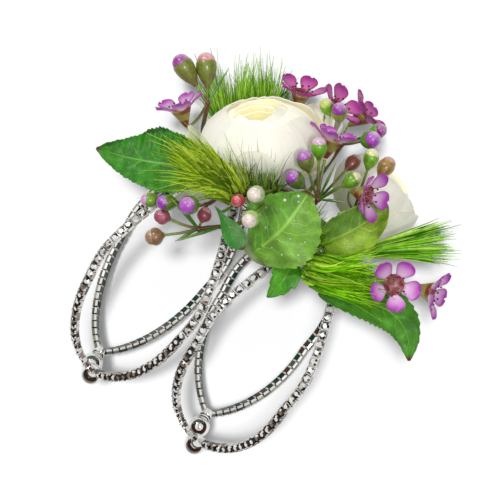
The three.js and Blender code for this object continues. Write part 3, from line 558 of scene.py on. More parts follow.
cup_master = crystal_cup()
for row_index, row in enumerate(loop_rows):
    name, arm = row[:2]
    draw = random.Random(40 + row_index)
    outer, inner = cup_places(row, 1), cup_places(row, -1)
    taken = [matrix.translation for matrix in outer]
    for matrix in inner:
        if min((matrix.translation - place).length for place in taken) > strand_gap:
            outer.append(matrix)
    cups = []
    for matrix in outer:
        cup = linked(name + "_cup", cup_master.data.copy())
        cup.matrix_world = matrix
        cups.append(cup)
        # Each cup's floor takes one painted reflection of the dark room.
        floor_reflection = draw.choice(FLOOR_REFLECTIONS)
        low = arm < 0 and matrix.translation.z < low_line
        facets, walls, metal = LOW_SHADED_TONES if low else HIGH_LIT_TONES
        layer = tint_layer(cup.data)
        for face in cup.data.polygons:
            centre, normal = face.center, face.normal
            stone = centre.z > stone_foot and centre.xy.length < stone_reach
            under = normal.z < -0.9 and face.area > wide_floor
            wall = (arm > 0 or low) and not stone and abs(normal.x) > 0.9
            if arm > 0 and not (stone or under or wall):
                continue
            # Painted shade: the ends of the front cups, and the end facets of the low stones, go near-black
            # between the cups.
            end = arm < 0 and abs(normal.y) > abs(normal.x)
            end = end and (low if stone else abs(centre.y) > end_start)
            tones = facets if stone else walls if wall else metal
            tone_now = floor_reflection if under else draw.choice(tones)
            # A stone's table facet takes one of the brighter tones: a painted glint.
            if stone and normal.z > 0.9:
                tone_now = draw.choice(facets[:3])
            elif end:
                tone_now = GAP_SHADE
            for corner in face.loop_indices:
                layer.data[corner].color = (*tone_now, 1)
    choose(*cups)
    bpy.ops.object.join()
    strand = cups[0]
    strand.name = f"{name}_cup_chain"
    apply_all(strand)
    strand.data.materials.append(chain_metal)
    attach(strand, "front_arm" if arm < 0 else "back_arm")
    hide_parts(f"{name}_loop")
bpy.data.objects.remove(cup_master)


# Tip balls: polished plated balls with a turned collar, screwed into the socket where the two
# strands of a loop meet. They keep the ends smooth as the cuff is pushed over the wrist.
ball_radius, ball_neck, ball_neck_start, ball_neck_length, ball_overlap = 2.6, 1.25, 2.3, 1.0, 1.0
# radius and height of the socket with its groove, and how far the neck's collar stands out
ball_profile = [(0, 0), (1.35, 0), (1.5, 0.15), (1.5, 1.85), (1.35, 2.0), (1.1, 2.05), (1.1, 2.3)]
collar = ((0, 2.3), (0, 2.6), (0.25, 2.75), (0.25, 3.0), (0, 3.15))
ball_profile += [(ball_neck + wider, height) for wider, height in collar]
ball_steps, tip_step, neck_angle = 24, 0.01, math.asin(ball_neck / ball_radius)
ball_centre = ball_neck_start + ball_neck_length + ball_radius * math.cos(neck_angle)
for i in range(ball_steps):
    angle = neck_angle + (math.pi - neck_angle) * i / ball_steps
    height = ball_centre - ball_radius * math.cos(angle)
    ball_profile.append((ball_radius * math.sin(angle), height))
ball_profile.append((0, ball_centre + ball_radius))


def turned(name, profile, steps=40):
    """A body of revolution about Z from (radius, height) pairs that start and end on the axis."""
    deselect()
    mesh = bpy.data.meshes.new(name)
    points = [(radius * mm, 0, height * mm) for radius, height in profile]
    mesh.from_pydata(points, [(i, i + 1) for i in range(len(points) - 1)], [])
    piece = linked(name, mesh)
    choose(piece)
    bpy.ops.object.mode_set(mode="EDIT")
    bpy.ops.mesh.select_all(action="SELECT")
    bpy.ops.mesh.spin(steps=steps, angle=2 * math.pi, center=(0, 0, 0), axis=(0, 0, 1))
    bpy.ops.mesh.select_all(action="SELECT")
    bpy.ops.mesh.remove_doubles(threshold=0.01 * mm)
    bpy.ops.mesh.normals_make_consistent(inside=False)
    bpy.ops.object.mode_set(mode="OBJECT")
    return piece


def aimed(place, direction):
    """The turn and shift that take +Z at the origin to a direction at a place."""
    turn = Vector((0, 0, 1)).rotation_difference(Vector(direction).normalized())
    return Matrix.Translation(place) @ turn.to_matrix().to_4x4()


for row in loop_rows:
    name, arm, _, tip_degrees, _, _ = row
    tip = math.radians(tip_degrees)
    along = (ring_point(tip, arm) - ring_point(tip - tip_step, arm)).normalized()
    socket = strand_point(row, 1, tip) - along * ball_overlap
    ball = turned(f"{name}_ball", ball_profile)
    ball.matrix_world = aimed(socket * mm, along)
    apply_all(ball)
    smooth(40)
    ball.data.materials.append(polished)
    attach(ball, "front_arm" if arm < 0 else "back_arm")
    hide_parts(f"{name}_tip_ball")


# Ranunculus petals: two blooms of thin overlapping petals, wrapped in whorls about a pale
# yellow heart. Each petal is cut from one flat sheet, cupped, ruffled at its edge and tucked
# under the next; the outermost ones on the right have opened and creased.
spray_reach, calyx_rise, seat_rise = 50, 3.6 * mm, 0.3 * mm
petal_thickness, whorl_step, heart_step, heart_tall = 0.14 * mm, 0.1, 0.11, 1.08
petal_start, lip_start, flare_start, lip_lift, tip_lift = 0.42, 0.86, 0.55, 0.4, 0.05
inner_petals, inner_turn, whorl_turn, inner_half, inner_rim, rim_step = 4, 97, 61, 70, 153, 2.5
heart_petals, heart_turn, heart_half, heart_rim = 7, 137.5, 84, 158
ranunculus_rows = (
    # name, bottom (shares of the reach), axis, radius (share of the reach), depth to radius, whorls
    ("front", (-0.113, -0.158), (-0.56, -0.28, 0.78), 0.3, 0.65, 4),
    ("back", (0.306, 0.093), (0.3, 0.05, 0.95), 0.225, 0.75, 3),
)


def spray(x, y, z):
    return Vector((x * spray_reach, y * spray_reach, plate_top / mm + z * spray_reach)) * mm


def seat(x, y):
    x, y = x * core_half_length, y * core_half_depth
    return Vector((x, y, core_top(x, y) + seat_rise))


def srgb(code):
    """A colour written as six hex digits, in the linear values that the shaders use."""
    levels = (int(code[i : i + 2], 16) / 255 for i in (0, 2, 4))
    return tuple(v / 12.92 if v <= 0.04045 else ((v + 0.055) / 1.055) ** 2.4 for v in levels)


def blend_colours(first, second, share):
    share = min(max(share, 0), 1)
    return tuple(a + (b - a) * share for a, b in zip(first, second))


def sheet(name, columns, rows, place, tone):
    """A flat sheet shaped by place(across, up) and coloured by tone(across, up); across runs
    from -1 to 1 and up from 0 to 1, and its own UV keeps both for the veins."""
    bpy.ops.mesh.primitive_grid_add(x_subdivisions=columns, y_subdivisions=rows, size=2)
    piece = bpy.context.object
    piece.name = name
    mesh = piece.data
    shares = [(vertex.co.x, (vertex.co.y + 1) / 2) for vertex in mesh.vertices]
    colours = [(*tone(*share), 1) for share in shares]
    layer = tint_layer(mesh)
    for loop in mesh.loops:
        layer.data[loop.index].color = colours[loop.vertex_index]
    for vertex, share in zip(mesh.vertices, shares):
        vertex.co = place(*share)
    return piece


def joined(name, pieces, thickness=0.0):
    choose(*pieces)
    if len(pieces) > 1:
        bpy.ops.object.join()
    whole = pieces[0]
    whole.name = name
    if thickness:
        skin = whole.modifiers.new("thickness", "SOLIDIFY")
        skin.thickness = thickness
        skin.offset = 0
        apply_all(whole)
    smooth(70)
    return whole


PETAL_WHITE, PETAL_EDGE, PETAL_FOOT = srgb("f5f2e4"), srgb("f6f3e2"), srgb("ebe6c4")
# The sheer petals' tone is a little greyer than the white: partly their thin sheer look, partly painted
# shade.
HEART_YELLOW, SHEER_SHADED_PETAL = srgb("f3efd2"), srgb("e8e6da")

# Fine streaks run up each petal from its foot, as a faint change of tone and relief
streaks, source, drain = pattern_group("petal_streaks")
stretch = node(streaks, "Mapping", {"Vector": node(streaks, "UVMap"), "Scale": (34, 1.6, 1)})
lines = node(streaks, "TexNoise", {"Vector": stretch, "Scale": 1, "Detail": 5})
tone_by(streaks, source, drain, lines, 0.955, 1.02)
# Both petal finishes glow in their own colour, the heart's most: painted light that brightens the petals
# lying in shade, deepest in the heart.
petal_look = (None, 0.62, streaks, None, 0.1 * mm)
petal_glow_skin = finish("ranunculus_petal", *petal_look, {"Emission Strength": 0.07})
heart_glow_skin = finish("ranunculus_heart_petal", *petal_look, {"Emission Strength": 0.22})


def bloom_frame(bottom_shares, axis_shares, depth):
    """The foot, the centre and the turn of a bloom that stands on the glue."""
    x, y = (share * spray_reach * mm for share in bottom_shares)
    axis = Vector(axis_shares).normalized()
    bottom = Vector((x, y, core_top(x, y) + calyx_rise))
    turn = Vector((0, 0, 1)).rotation_difference(axis).to_matrix()
    return bottom, bottom + axis * depth, turn


def petal(bloom, size, facing, half_width, rim, colours, fineness, seed, tall=1, tuck=0.03,
          flare=0.0, ruffle=0.02, dip=0.18, curl=0.0, slant=0.0, shift=0.0):
    """One petal of a bloom: an ellipsoid patch about its axis; facing, half width, rim and
    slant are in degrees, colours are those of its foot, body and edge."""
    centre, turn, radius, depth = bloom
    radius, depth = radius * size, depth * size * tall
    centre = centre + turn @ Vector((shift, 0, 0))
    foot, body, edge = colours

    def place(across, up):
        azimuth = math.radians(facing + across * half_width)
        top = math.radians(rim + slant * across) * (1 - dip * abs(across) ** 3.2)
        polar = petal_start + (top - petal_start) * up
        crease = noise.noise(Vector((across * 2.6 + seed * 3.1, up * 2.2, seed)))
        ripple = noise.noise(Vector((across * 5 + seed, up * 4, seed * 1.7)))
        reach = 1 + tuck * across + flare * max(0, up - flare_start) ** 1.6
        reach += ruffle * (crease + 0.5 * ripple) * (0.25 + up)
        lip = curl * max(0, up - lip_start) / (1 - lip_start)
        wide = math.sin(polar) * radius * (reach + lip)
        high = -math.cos(polar) * depth * (reach + lip_lift * lip)
        high += tip_lift * radius * up**4 * (1 - across**2)
        return centre + turn @ Vector((wide * math.cos(azimuth), wide * math.sin(azimuth), high))

    def tone(across, up):
        colour = blend_colours(foot, body, (up - 0.1) / 0.45)
        return blend_colours(colour, edge, (up - 0.8) / 0.2)

    return sheet("petal", *fineness, place, tone)


def dress_bloom(name, part, petals):
    """Joins petals to a bloom's piece for petals_1, petals_2 and so on, or for its heart."""
    piece = joined(f"{name}_bloom_{part.replace('petals', 'whorl')}", petals, petal_thickness)
    piece.data.materials.append(petal_glow_skin if part == "petals_1" else heart_glow_skin)
    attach(piece, "spray")
    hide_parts(f"{name}_ranunculus_{part}")


open_petals = {
    # facing, half width, rim, slant (degrees), size, shift, flare, ruffle, dip, colour; facing 0 is
    # the right, 90 the back, 180 the left and 270 the front
    "front": (
        (258, 68, 143, -9, 0.97, -1.0, 0.0, 0.012, 0.05, PETAL_WHITE),
        (318, 50, 140, 6, 0.93, -1.0, 0.0, 0.02, 0.1, PETAL_WHITE),
        (192, 56, 148, 0, 0.97, -1.0, 0.0, 0.02, 0.1, PETAL_WHITE),
        (350, 76, 164, 0, 0.82, -1.0, 0.0, 0.015, 0.04, PETAL_WHITE),
        (138, 52, 146, 0, 0.96, -0.8, 0.02, 0.03, 0.12, PETAL_WHITE),
        (74, 46, 149, 0, 0.96, 0.0, 0.05, 0.05, 0.16, PETAL_WHITE),
        (34, 38, 113, 0, 1.05, 0.0, 0.2, 0.07, 0.16, SHEER_SHADED_PETAL),
        (4, 36, 104, 0, 1.07, 0.0, 0.3, 0.08, 0.2, SHEER_SHADED_PETAL),
        (186, 30, 104, 0, 1.1, 0.0, 0.4, 0.05, 0.3, SHEER_SHADED_PETAL),
        (273, 17, 112, 0, 1.07, -0.6, 0.25, 0.03, 0.14, PETAL_WHITE),
    ),
    "back": (
        (285, 60, 140, 0, 1.0, 0.0, 0.0, 0.05, 0.1, PETAL_WHITE),
        (345, 52, 126, 0, 0.98, 0.0, 0.2, 0.1, 0.2, PETAL_WHITE),
        (320, 40, 108, 0, 0.99, 0.0, 0.25, 0.12, 0.25, PETAL_WHITE),
        (40, 50, 128, 0, 0.98, 0.0, 0.15, 0.08, 0.2, SHEER_SHADED_PETAL),
        (100, 55, 135, 0, 0.98, 0.0, 0.05, 0.06, 0.2, SHEER_SHADED_PETAL),
        (170, 60, 138, 0, 0.97, 0.0, 0.0, 0.06, 0.15, PETAL_WHITE),
        (225, 50, 138, 0, 0.96, 0.0, 0.0, 0.06, 0.15, PETAL_WHITE),
    ),
}
for name, bottom_shares, axis_shares, radius_share, depth_share, whorls in ranunculus_rows:
    in_front = name == "front"
    radius = radius_share * spray_reach * mm
    depth = radius * depth_share * (0.9 if in_front else 1)
    inner_shift = -1.0 * mm if in_front else 0.0
    _, centre, turn = bloom_frame(bottom_shares, axis_shares, depth)
    bloom = (centre, turn, radius, depth)
    draw = random.Random(7 if in_front else 11)
    petals = []
    for i, row in enumerate(open_petals[name]):
        facing, half_width, rim, slant, size, shift, flare, ruffle, dip, body = row
        foot, edge = blend_colours(body, PETAL_FOOT, 0.5), blend_colours(body, PETAL_EDGE, 0.6)
        petals.append(
            petal(bloom, size, facing, half_width, rim, (foot, body, edge), (24, 22), i * 3.7, tuck=0.012,
                  flare=flare, ruffle=ruffle, dip=dip, curl=0.012, slant=slant, shift=shift * mm)
        )
    dress_bloom(name, "petals_1", petals)
    for whorl in range(1, whorls):
        body = blend_colours(PETAL_EDGE, HEART_YELLOW, whorl / whorls * 1.3)
        colours = (HEART_YELLOW, body, blend_colours(body, PETAL_EDGE, 0.8))
        petals = []
        for i in range(inner_petals):
            size = 1 - whorl * whorl_step - 0.015 * i
            facing = inner_turn * i + whorl_turn * whorl
            half_width = inner_half + draw.uniform(-6, 6)
            rim = inner_rim + rim_step * whorl + draw.uniform(-3, 3)
            seed = draw.uniform(0, 50)
            petals.append(
                petal(bloom, size, facing, half_width, rim, colours, (20, 18), seed, ruffle=0.03, dip=0.1,
                      curl=0.02, shift=inner_shift)
            )
        dress_bloom(name, f"petals_{whorl + 1}", petals)
    colours = (HEART_YELLOW, HEART_YELLOW, PETAL_FOOT)
    petals = []
    for i in range(heart_petals):
        size = (1 - whorls * whorl_step) * (1 - heart_step * i)
        rim, seed = heart_rim + draw.uniform(-5, 5), draw.uniform(0, 50)
        petals.append(
            petal(bloom, size, i * heart_turn, heart_half, rim, colours, (12, 9), seed, heart_tall, tuck=0.05,
                  shift=inner_shift)
        )
    dress_bloom(name, "heart", petals)


# Calyx and stalk of each bloom: green sepals under the petals on a round stalk cut to length
# and pushed into the glue.
stalk_radius, sepal_radius = 1.3, 2.2
stalk_foot, stalk_short, stalk_drop = 0.3 * mm, 0.6 * mm, 0.4 * mm
sepal_profile = ((1, -0.1), (0.6, 0.3), (0, 0.35))
calyx_profile = [(stalk_radius, -1.3), (sepal_radius * 0.9, -0.7)]
calyx_profile += [(sepal_radius * share, height) for share, height in sepal_profile]
LEAF_FRESH = srgb("7fa832")
stem_grain = {"Low": 0.75, "High": 1.2, "Scale": 900}
stem_green = finish("stem_green", None, 0.5, mottle, stem_grain, 0.03 * mm)
for name, bottom_shares, axis_shares, _, _, _ in ranunculus_rows:
    bottom, _, turn = bloom_frame(bottom_shares, axis_shares, 0)
    sepals = turned(f"{name}_calyx", calyx_profile)
    sepals.matrix_world = Matrix.Translation(bottom) @ turn.to_4x4()
    apply_all(sepals)
    foot = Vector((bottom.x, bottom.y, bottom.z - calyx_rise + stalk_foot))
    upward = bottom - foot
    bpy.ops.mesh.primitive_cylinder_add(
        vertices=20, radius=stalk_radius * mm, depth=upward.length - stalk_short
    )
    stalk = bpy.context.object
    stalk.matrix_world = aimed((foot + bottom) / 2 - upward.normalized() * stalk_drop, upward)
    apply_all(stalk)
    whole = joined(f"{name}_calyx", [sepals, stalk])
    paint(whole.data, LEAF_FRESH)
    whole.data.materials.append(stem_green)
    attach(whole, "spray")
    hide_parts(f"{name}_ranunculus_calyx")


# Bristle tufts: tufts of fine soft bristles on a thick stem, dyed in several greens. Each one is
# a four-sided hair that tapers and waves, modelled once and copied a few hundred times a tuft.
hair_point, hair_cuts = 0.12, (0.17, 0.34, 0.5, 0.67, 0.84)
lock_count, lock_pull, thin_clump = 24, 0.25, 120
stem_start, tuft_stalk_foot, tuft_stalk_end = 0.55 * mm, 0.9, 0.5
bristle_grain = {"Low": 0.8, "High": 1.15, "Scale": 900}
# The bristles glow a little in their own colour: painted light that lifts the shade among the hairs.
bristle_shine_and_glow = {"Specular IOR Level": 0.15, "Emission Strength": 0.22}
bristle_skin = finish("bristle_green", None, 0.55, mottle, bristle_grain, more=bristle_shine_and_glow)
tuft_rows = (
    # name, foot, shoulders, clumps: (base, tip, spread, flat, fan, uneven and rounded roots, length
    # shares, sag, tuck of the roots, hairs, hair radius (mm), curl), colours
    ("top", (-0.381, 0.452), (),
     (((-0.296, 0.32, 0.119), (-0.52, 0.38, 0.451), 0.3, 0.45, 1.1, 0.05, 0,
       (0.45, 0.79), (0, 0, 0), (0, 0, 0), 900, 0.31, 0.34),),
     ("86b828", "6ca61a", "a0cc44", "588c16", "427410", "b6dc5c")),
    ("left", (-0.42, -0.62), ((-0.18, -0.35, 0.045), (-0.2, -0.47, 0.04)),
     (((-0.222, -0.61, 0.043), (-0.56, -0.68, 0.13), 0.34, 0.7, 0.45, 0.3, 0,
       (0.35, 0.8), (-0.05, 0, -0.22), (0, 0, 0), 620, 0.27, 0.5),
      ((-0.2, -0.6, 0.06), (-0.37, -0.58, 0.17), 0.55, 0.5, 0.7, 0.1, 0,
       (0.35, 0.75), (-0.1, 0, 0), (0, 0, 0), 118, 0.22, 0.8)),
     ("a4c01c", "8cac12", "bcd838", "70920e", "547808", "d0e060")),
    ("front", (0.476, -0.581), ((0.2, -0.42, 0.06), (0.24, -0.6, -0.04)),
     (((0.255, -0.73, -0.076), (0.53, -0.7, 0.105), 0.06, 0.7, 4.3, 0.16, 0.2,
       (0.55, 0.98), (0, 0.04, -0.1), (0, 0.3, 0.06), 560, 0.27, 0.26),
      ((0.27, -0.5, -0.05), (0.33, -0.52, 0.09), 0.7, 0.6, 0.6, 0.4, 0,
       (0.5, 1.2), (0, 0, 0), (0, 0, 0), 110, 0.2, 0.4),
      ((0.19, -0.5, 0.05), (0.22, -0.5, 0.17), 0.7, 0.5, 0.6, 0.4, 0,
       (0.5, 1.2), (0, 0, 0), (0, 0, 0), 70, 0.2, 0.4)),
     ("8cd010", "74bc08", "b0e428", "569c08", "428408", "c8f04c")),
    ("right", (0.714, -0.194), (),
     (((0.464, -0.2, 0.095), (0.74, -0.2, 0.361), 0.22, 0.7, 0.35, 0.2, 0.1,
       (0.6, 1.02), (0, 0, -0.03), (0, 0, 0), 320, 0.27, 0.07),),
     ("9ade34", "7cc81c", "bcf058", "549c10", "3c8008", "d0f07c")),
    ("inner", (-0.095, -0.645), ((-0.08, -0.42, 0.08),),
     (((-0.112, -0.55, 0.087), (-0.21, -0.58, 0.225), 0.65, 0.3, 1, 0.2, 0,
       (0.2, 0.56), (0, 0, 0), (0, 0, 0), 190, 0.19, 1.3),
      ((0.0, -0.54, 0.05), (-0.03, -0.55, 0.17), 0.7, 0.5, 0.8, 0.4, 0,
       (0.5, 1.1), (0, 0, 0), (0, 0, 0), 90, 0.2, 0.6)),
     ("4a6d18", "2f5212", "6b8f24", "3a4a1c", "88a83a", "5c7c1c")),
)
bpy.ops.mesh.primitive_cone_add(
    vertices=4, radius1=1, radius2=hair_point, depth=1, location=(0, 0, 0.5)
)
hair = bpy.context.object
apply_all(hair)
bpy.ops.object.mode_set(mode="EDIT")
for cut in hair_cuts:
    bpy.ops.mesh.select_all(action="SELECT")
    bpy.ops.mesh.bisect(plane_co=(0, 0, cut), plane_no=(0, 0, 1))
bpy.ops.object.mode_set(mode="OBJECT")
hair_points = [vertex.co.copy() for vertex in hair.data.vertices]
hair_faces = [tuple(face.vertices) for face in hair.data.polygons]
bpy.data.objects.remove(hair)


def hairs(name, rows):
    """Copies of the hair along bent paths: (root, direction, sag, wave, tuck, length, radius, colour)."""
    points, faces, colours = [], [], []
    for root, direction, sag, wave, tuck, length, radius, colour in rows:
        first = len(points)
        side = direction.cross(Vector((0.3, 0.9, 0.1))).normalized()
        deep = direction.cross(side)
        for point in hair_points:
            t = point.z
            bent = direction * t + sag * t**2 + wave * math.sin(5 * t) + tuck * (1 - t) ** 3
            points.append(root + bent * length + (side * point.x + deep * point.y) * radius)
        for face in hair_faces:
            faces.append([first + i for i in face])
            along = sum(hair_points[i].z for i in face) / len(face)
            # Painted shade: each hair darkens towards its root, deep in the tuft.
            shaded = blend_colours(colour, (0, 0, 0), 0.5 * (1 - along) ** 3)
            colours.extend([shaded] * len(face))
    mesh = bpy.data.meshes.new(name)
    mesh.from_pydata(points, [], faces)
    layer = tint_layer(mesh)
    for i, colour in enumerate(colours):
        layer.data[i].color = (*colour, 1)
    return linked(name, mesh)


def smooth_path(points, steps=6):
    ends = [points[0] * 2 - points[1], *points, points[-1] * 2 - points[-2]]
    path = []
    for a, b, c, d in zip(ends, ends[1:], ends[2:], ends[3:]):
        bow, turn = 2 * a - 5 * b + 4 * c - d, 3 * b - a - 3 * c + d
        for i in range(steps):
            t = i / steps
            path.append(0.5 * (2 * b + (c - a) * t + bow * t**2 + turn * t**3))
    return path + [points[-1]]


def stem(name, points, first_radius, last_radius, colour, end_colour=None):
    """A round stem along a smooth path, its radii in millimetres, tinted from foot to end."""
    path = smooth_path(points)
    curve = bpy.data.curves.new(name, "CURVE")
    curve.dimensions = "3D"
    curve.bevel_depth = 1 * mm
    curve.bevel_resolution = 2
    curve.use_fill_caps = True
    spline = curve.splines.new("POLY")
    last = len(path) - 1
    spline.points.add(last)
    for i, point in enumerate(path):
        spline.points[i].co = (*point, 1)
        spline.points[i].radius = first_radius + (last_radius - first_radius) * i / last
    choose(linked(name, curve))
    bpy.ops.object.convert(target="MESH")
    piece = bpy.context.object
    near, reach = points[0], max((points[-1] - points[0]).length, 1e-6)
    end_colour = end_colour or colour

    def stem_tone(centre, normal):
        return blend_colours(colour, end_colour, (centre - near).length / reach)

    paint(piece.data, stem_tone)
    return piece


def stem_points(foot, shoulders, end):
    start = seat(*foot)
    return [start, start + Vector((0, 0, stem_start)), *(spray(*s) for s in shoulders), end]


for name, foot, shoulders, clumps, codes in tuft_rows:
    draw = random.Random(len(name) * 31)
    tones = [srgb(code) for code in codes]
    rows = []
    for clump in clumps[::-1]:
        base, tip, spread, flat, fan, uneven, rounded, reaches, sag, tuck, count, radius, curl = clump
        base, tip, sag, tuck = spray(*base), spray(*tip), Vector(sag), Vector(tuck)
        length, axis = (tip - base).length, (tip - base).normalized()
        across = axis.cross(Vector((0, 1, 0))).normalized()
        deep = axis.cross(across).normalized()
        locks = []
        for _ in range(lock_count):
            x, y = draw.uniform(-1, 1), draw.uniform(-1, 1)
            locks.append((x, y, Vector([draw.uniform(-1, 1) for _ in range(3)])))
        for _ in range(count):
            angle, distance = draw.uniform(0, 2 * math.pi), math.sqrt(draw.random())
            x, y = distance * math.cos(angle), distance * math.sin(angle)
            lock_x, lock_y, pull = min(locks, key=lambda lock: (lock[0] - x) ** 2 + (lock[1] - y) ** 2)
            x += (lock_x - x) * lock_pull
            y += (lock_y - y) * lock_pull
            outward = (across * x + deep * y * flat) * spread
            lean = (axis + outward).normalized()
            back = draw.uniform(-0.4, 0.6) * uneven + rounded * distance**2
            root = base + (outward * fan + axis * back) * length
            own = Vector([draw.uniform(-1, 1) for _ in range(3)])
            bend = (own * 0.6 + pull * 0.7) * curl + sag
            wave = (own.yzx * 0.5 + pull.zxy * 0.5) * curl * 0.12
            # Hairs darken at random and by lock; the thin filler clumps, set deep among the others, darken
            # most: painted shade.
            dark = draw.uniform(0, 0.2) + 0.3 * (pull.x > 0.4) + 0.35 * (count < thin_clump)
            shade = blend_colours(draw.choice(tones), (0, 0, 0), dark)
            reach = length * draw.uniform(*reaches)
            thick = radius * draw.uniform(0.6, 1.3) * mm
            rows.append((root, lean, bend, wave, tuck, reach, thick, shade))
    # the stalk ends at the first clump, which comes last in the loop above
    stalk_path = stem_points(foot, shoulders, base + (axis * 0.05 + tuck) * length)
    brush = hairs(f"{name}_hairs", rows)
    stalk = stem(f"{name}_stalk", stalk_path, tuft_stalk_foot, tuft_stalk_end, LEAF_FRESH)
    whole = joined(f"{name}_tuft", [brush, stalk])
    whole.data.materials.append(bristle_skin)
    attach(whole, "spray")
    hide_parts(f"{name}_bristle_tuft")


# Leaves: fresh salal and myrtle leaves, each one a thin blade on its own stalk, wired into the
# glue. The blades are folded along the midrib, toothed, veined and browned at the tip.
veins, source, drain = pattern_group("leaf_veins")


def calc(operation, first, second=0, clamp=False):
    """A math node in the vein group; each input is a node, a socket or a number."""
    return node(veins, "Math", {0: first, 1: second}, operation=operation, use_clamp=clamp)


flat = node(veins, "UVMap")
parts = node(veins, "SeparateXYZ", {0: flat}).outputs
wander = node(veins, "TexNoise", {"Vector": flat, "Scale": 5})
off_midrib = calc("MULTIPLY", calc("ABSOLUTE", calc("SUBTRACT", parts["X"], 0.5)), 2)
midrib_line = calc("SUBTRACT", 1, calc("MULTIPLY", off_midrib, 16), True)
rising = calc("SUBTRACT", calc("MULTIPLY", parts["Y"], 7), calc("MULTIPLY", off_midrib, 2.2))
rising = calc("ADD", rising, calc("MULTIPLY", wander, 1.3))
to_vein = calc("ABSOLUTE", calc("SUBTRACT", calc("FRACT", rising), 0.5))
side_lines = calc("SUBTRACT", 1, calc("MULTIPLY", to_vein, 11), True)
side_lines = calc("MULTIPLY", side_lines, calc("SUBTRACT", 1.1, off_midrib, True))
net = node(veins, "TexVoronoi", {"Vector": flat, "Scale": 26}, feature="DISTANCE_TO_EDGE")
net_lines = calc("SUBTRACT", 0.35, calc("MULTIPLY", net.outputs["Distance"], 5), True)
vein_share = calc("MAXIMUM", midrib_line, calc("MULTIPLY", side_lines, 0.75))
vein_share = calc("MAXIMUM", vein_share, net_lines)
colour = source.outputs["Colour"]
leaf_grain = {"Colour": colour, "Low": 0.6, "High": 1.32, "Scale": 330}
cloudy = node(veins, "Group", leaf_grain, node_tree=mottle)
paler = {0: colour, 1: (1.7, 1.5, 1.5), 2: (0.12, 0.16, 0.045)}
paler = node(veins, "VectorMath", paler, operation="MULTIPLY_ADD")
strength = calc("MULTIPLY", vein_share, 0.8)
veined = node(veins, "Mix", {0: strength, 6: cloudy, 7: paler}, data_type="RGBA")
height = calc("SUBTRACT", cloudy.outputs["Height"], vein_share)
veins.links.new(veined.outputs[2], drain.inputs["Colour"])
veins.links.new(height.outputs[0], drain.inputs["Height"])
leaf_skin = finish("leaf_skin", None, 0.36, veins, None, 0.1 * mm, {"Specular IOR Level": 0.35})

blade_thickness, leaf_swell, leaf_wave, leaf_ripple = 0.22 * mm, 0.75, 0.1, 0.035
blade_columns, blade_rows = 28, 64
leaf_stalk_foot, leaf_stalk_end = 0.5, 0.35
LEAF_BROWN, LEAF_STALK = srgb("5c2a1c"), srgb("6f9a3c")
leaf_rows = (
    # name, foot, shoulders, base, bend, tip, face, width, belly, fold, roll, teeth, depth, two colours
    ("big_left_leaf", (-0.714, -0.71), ((-0.36, -0.4, 0.047),),
     (-0.388, -0.52, 0.051), (-0.588, -0.56, -0.087), (-0.832, -0.56, -0.149), (-0.1, -0.9, 0.4),
     0.29, 0.62, 0.15, 0.3, 26, 0.04, "2c7e0a", "3f8c28"),
    ("back_left_leaf", (-0.857, -0.129), (),
     (-0.51, -0.32, 0.045), (-0.61, -0.42, -0.015), (-0.72, -0.44, -0.089), (-0.1, -0.8, 0.6),
     0.18, 0.8, 0.15, 0.2, 14, 0.05, "1f6a0c", "2f7d10"),
    ("low_right_leaf", (0.619, -0.452), ((0.32, -0.4, 0.037),),
     (0.366, -0.6, -0.123), (0.728, -0.62, 0.123), (0.866, -0.7, -0.123), (0, -0.9, 0.4),
     0.2, 0.8, 0.15, 0.3, 16, 0.06, "4f9628", "468c1c"),
    ("small_tip_leaf", (0.333, -0.645), ((0.14, -0.44, 0.037),),
     (0.19, -0.6, -0.075), (0.21, -0.65, -0.16), (0.182, -0.68, -0.251), (0, -1, 0.1),
     0.14, 0.5, 0.2, 0.2, 4, 0.12, "4f9c1a", "3e8c0e"),
    ("round_front_leaf", (0, -0.645), ((-0.03, -0.4, 0.097),),
     (0.018, -0.62, -0.125), (0.088, -0.735, 0.071), (0.066, -0.64, 0.243), (0, -0.95, 0.3),
     0.39, 0.8, -0.25, 0.5, 11, 0.04, "76aa3a", "5f982c"),
    ("rolled_front_leaf", (0.619, -0.71), ((0.25, -0.38, 0.097),),
     (0.258, -0.48, 0.069), (0.346, -0.54, 0.179), (0.404, -0.4, 0.355), (0, -1, 0),
     0.27, 0.8, 0.2, 1.2, 6, 0.03, "96b838", "7aa446"),
    ("narrow_front_leaf", (-0.393, -0.871), ((-0.17, -0.5, -0.01), (-0.2, -0.6, -0.06)),
     (-0.24, -0.72, -0.033), (-0.18, -0.78, -0.043), (-0.03, -0.77, -0.113), (0, -1, 0),
     0.1, 2.6, 0.2, 0.2, 5, 0.0, "2f7f24", "5c9450"),
    ("under_front_leaf", (0.143, -0.71), ((0.05, -0.42, 0.057),),
     (-0.06, -0.55, -0.093), (0.02, -0.57, -0.123), (0.12, -0.62, -0.143), (0, -1, -0.2),
     0.09, 0.8, 0.2, 0.2, 5, 0.0, "8aa06a", "a3b58c"),
)
glint_drop_places = (
    # across, up, radius (mm): drops of clear glue, tinted white as painted glints where they catch the light
    (-0.4, 0.9, 0.32), (-0.55, 0.76, 0.34), (-0.15, 0.84, 0.24), (0.1, 0.62, 0.16),
    (-0.62, 0.5, 0.2), (0.3, 0.42, 0.18), (-0.3, 0.3, 0.2), (0.5, 0.24, 0.26),
    (0.62, 0.5, 0.16), (0.2, 0.2, 0.2), (-0.7, 0.3, 0.16), (0.72, 0.36, 0.22),
)
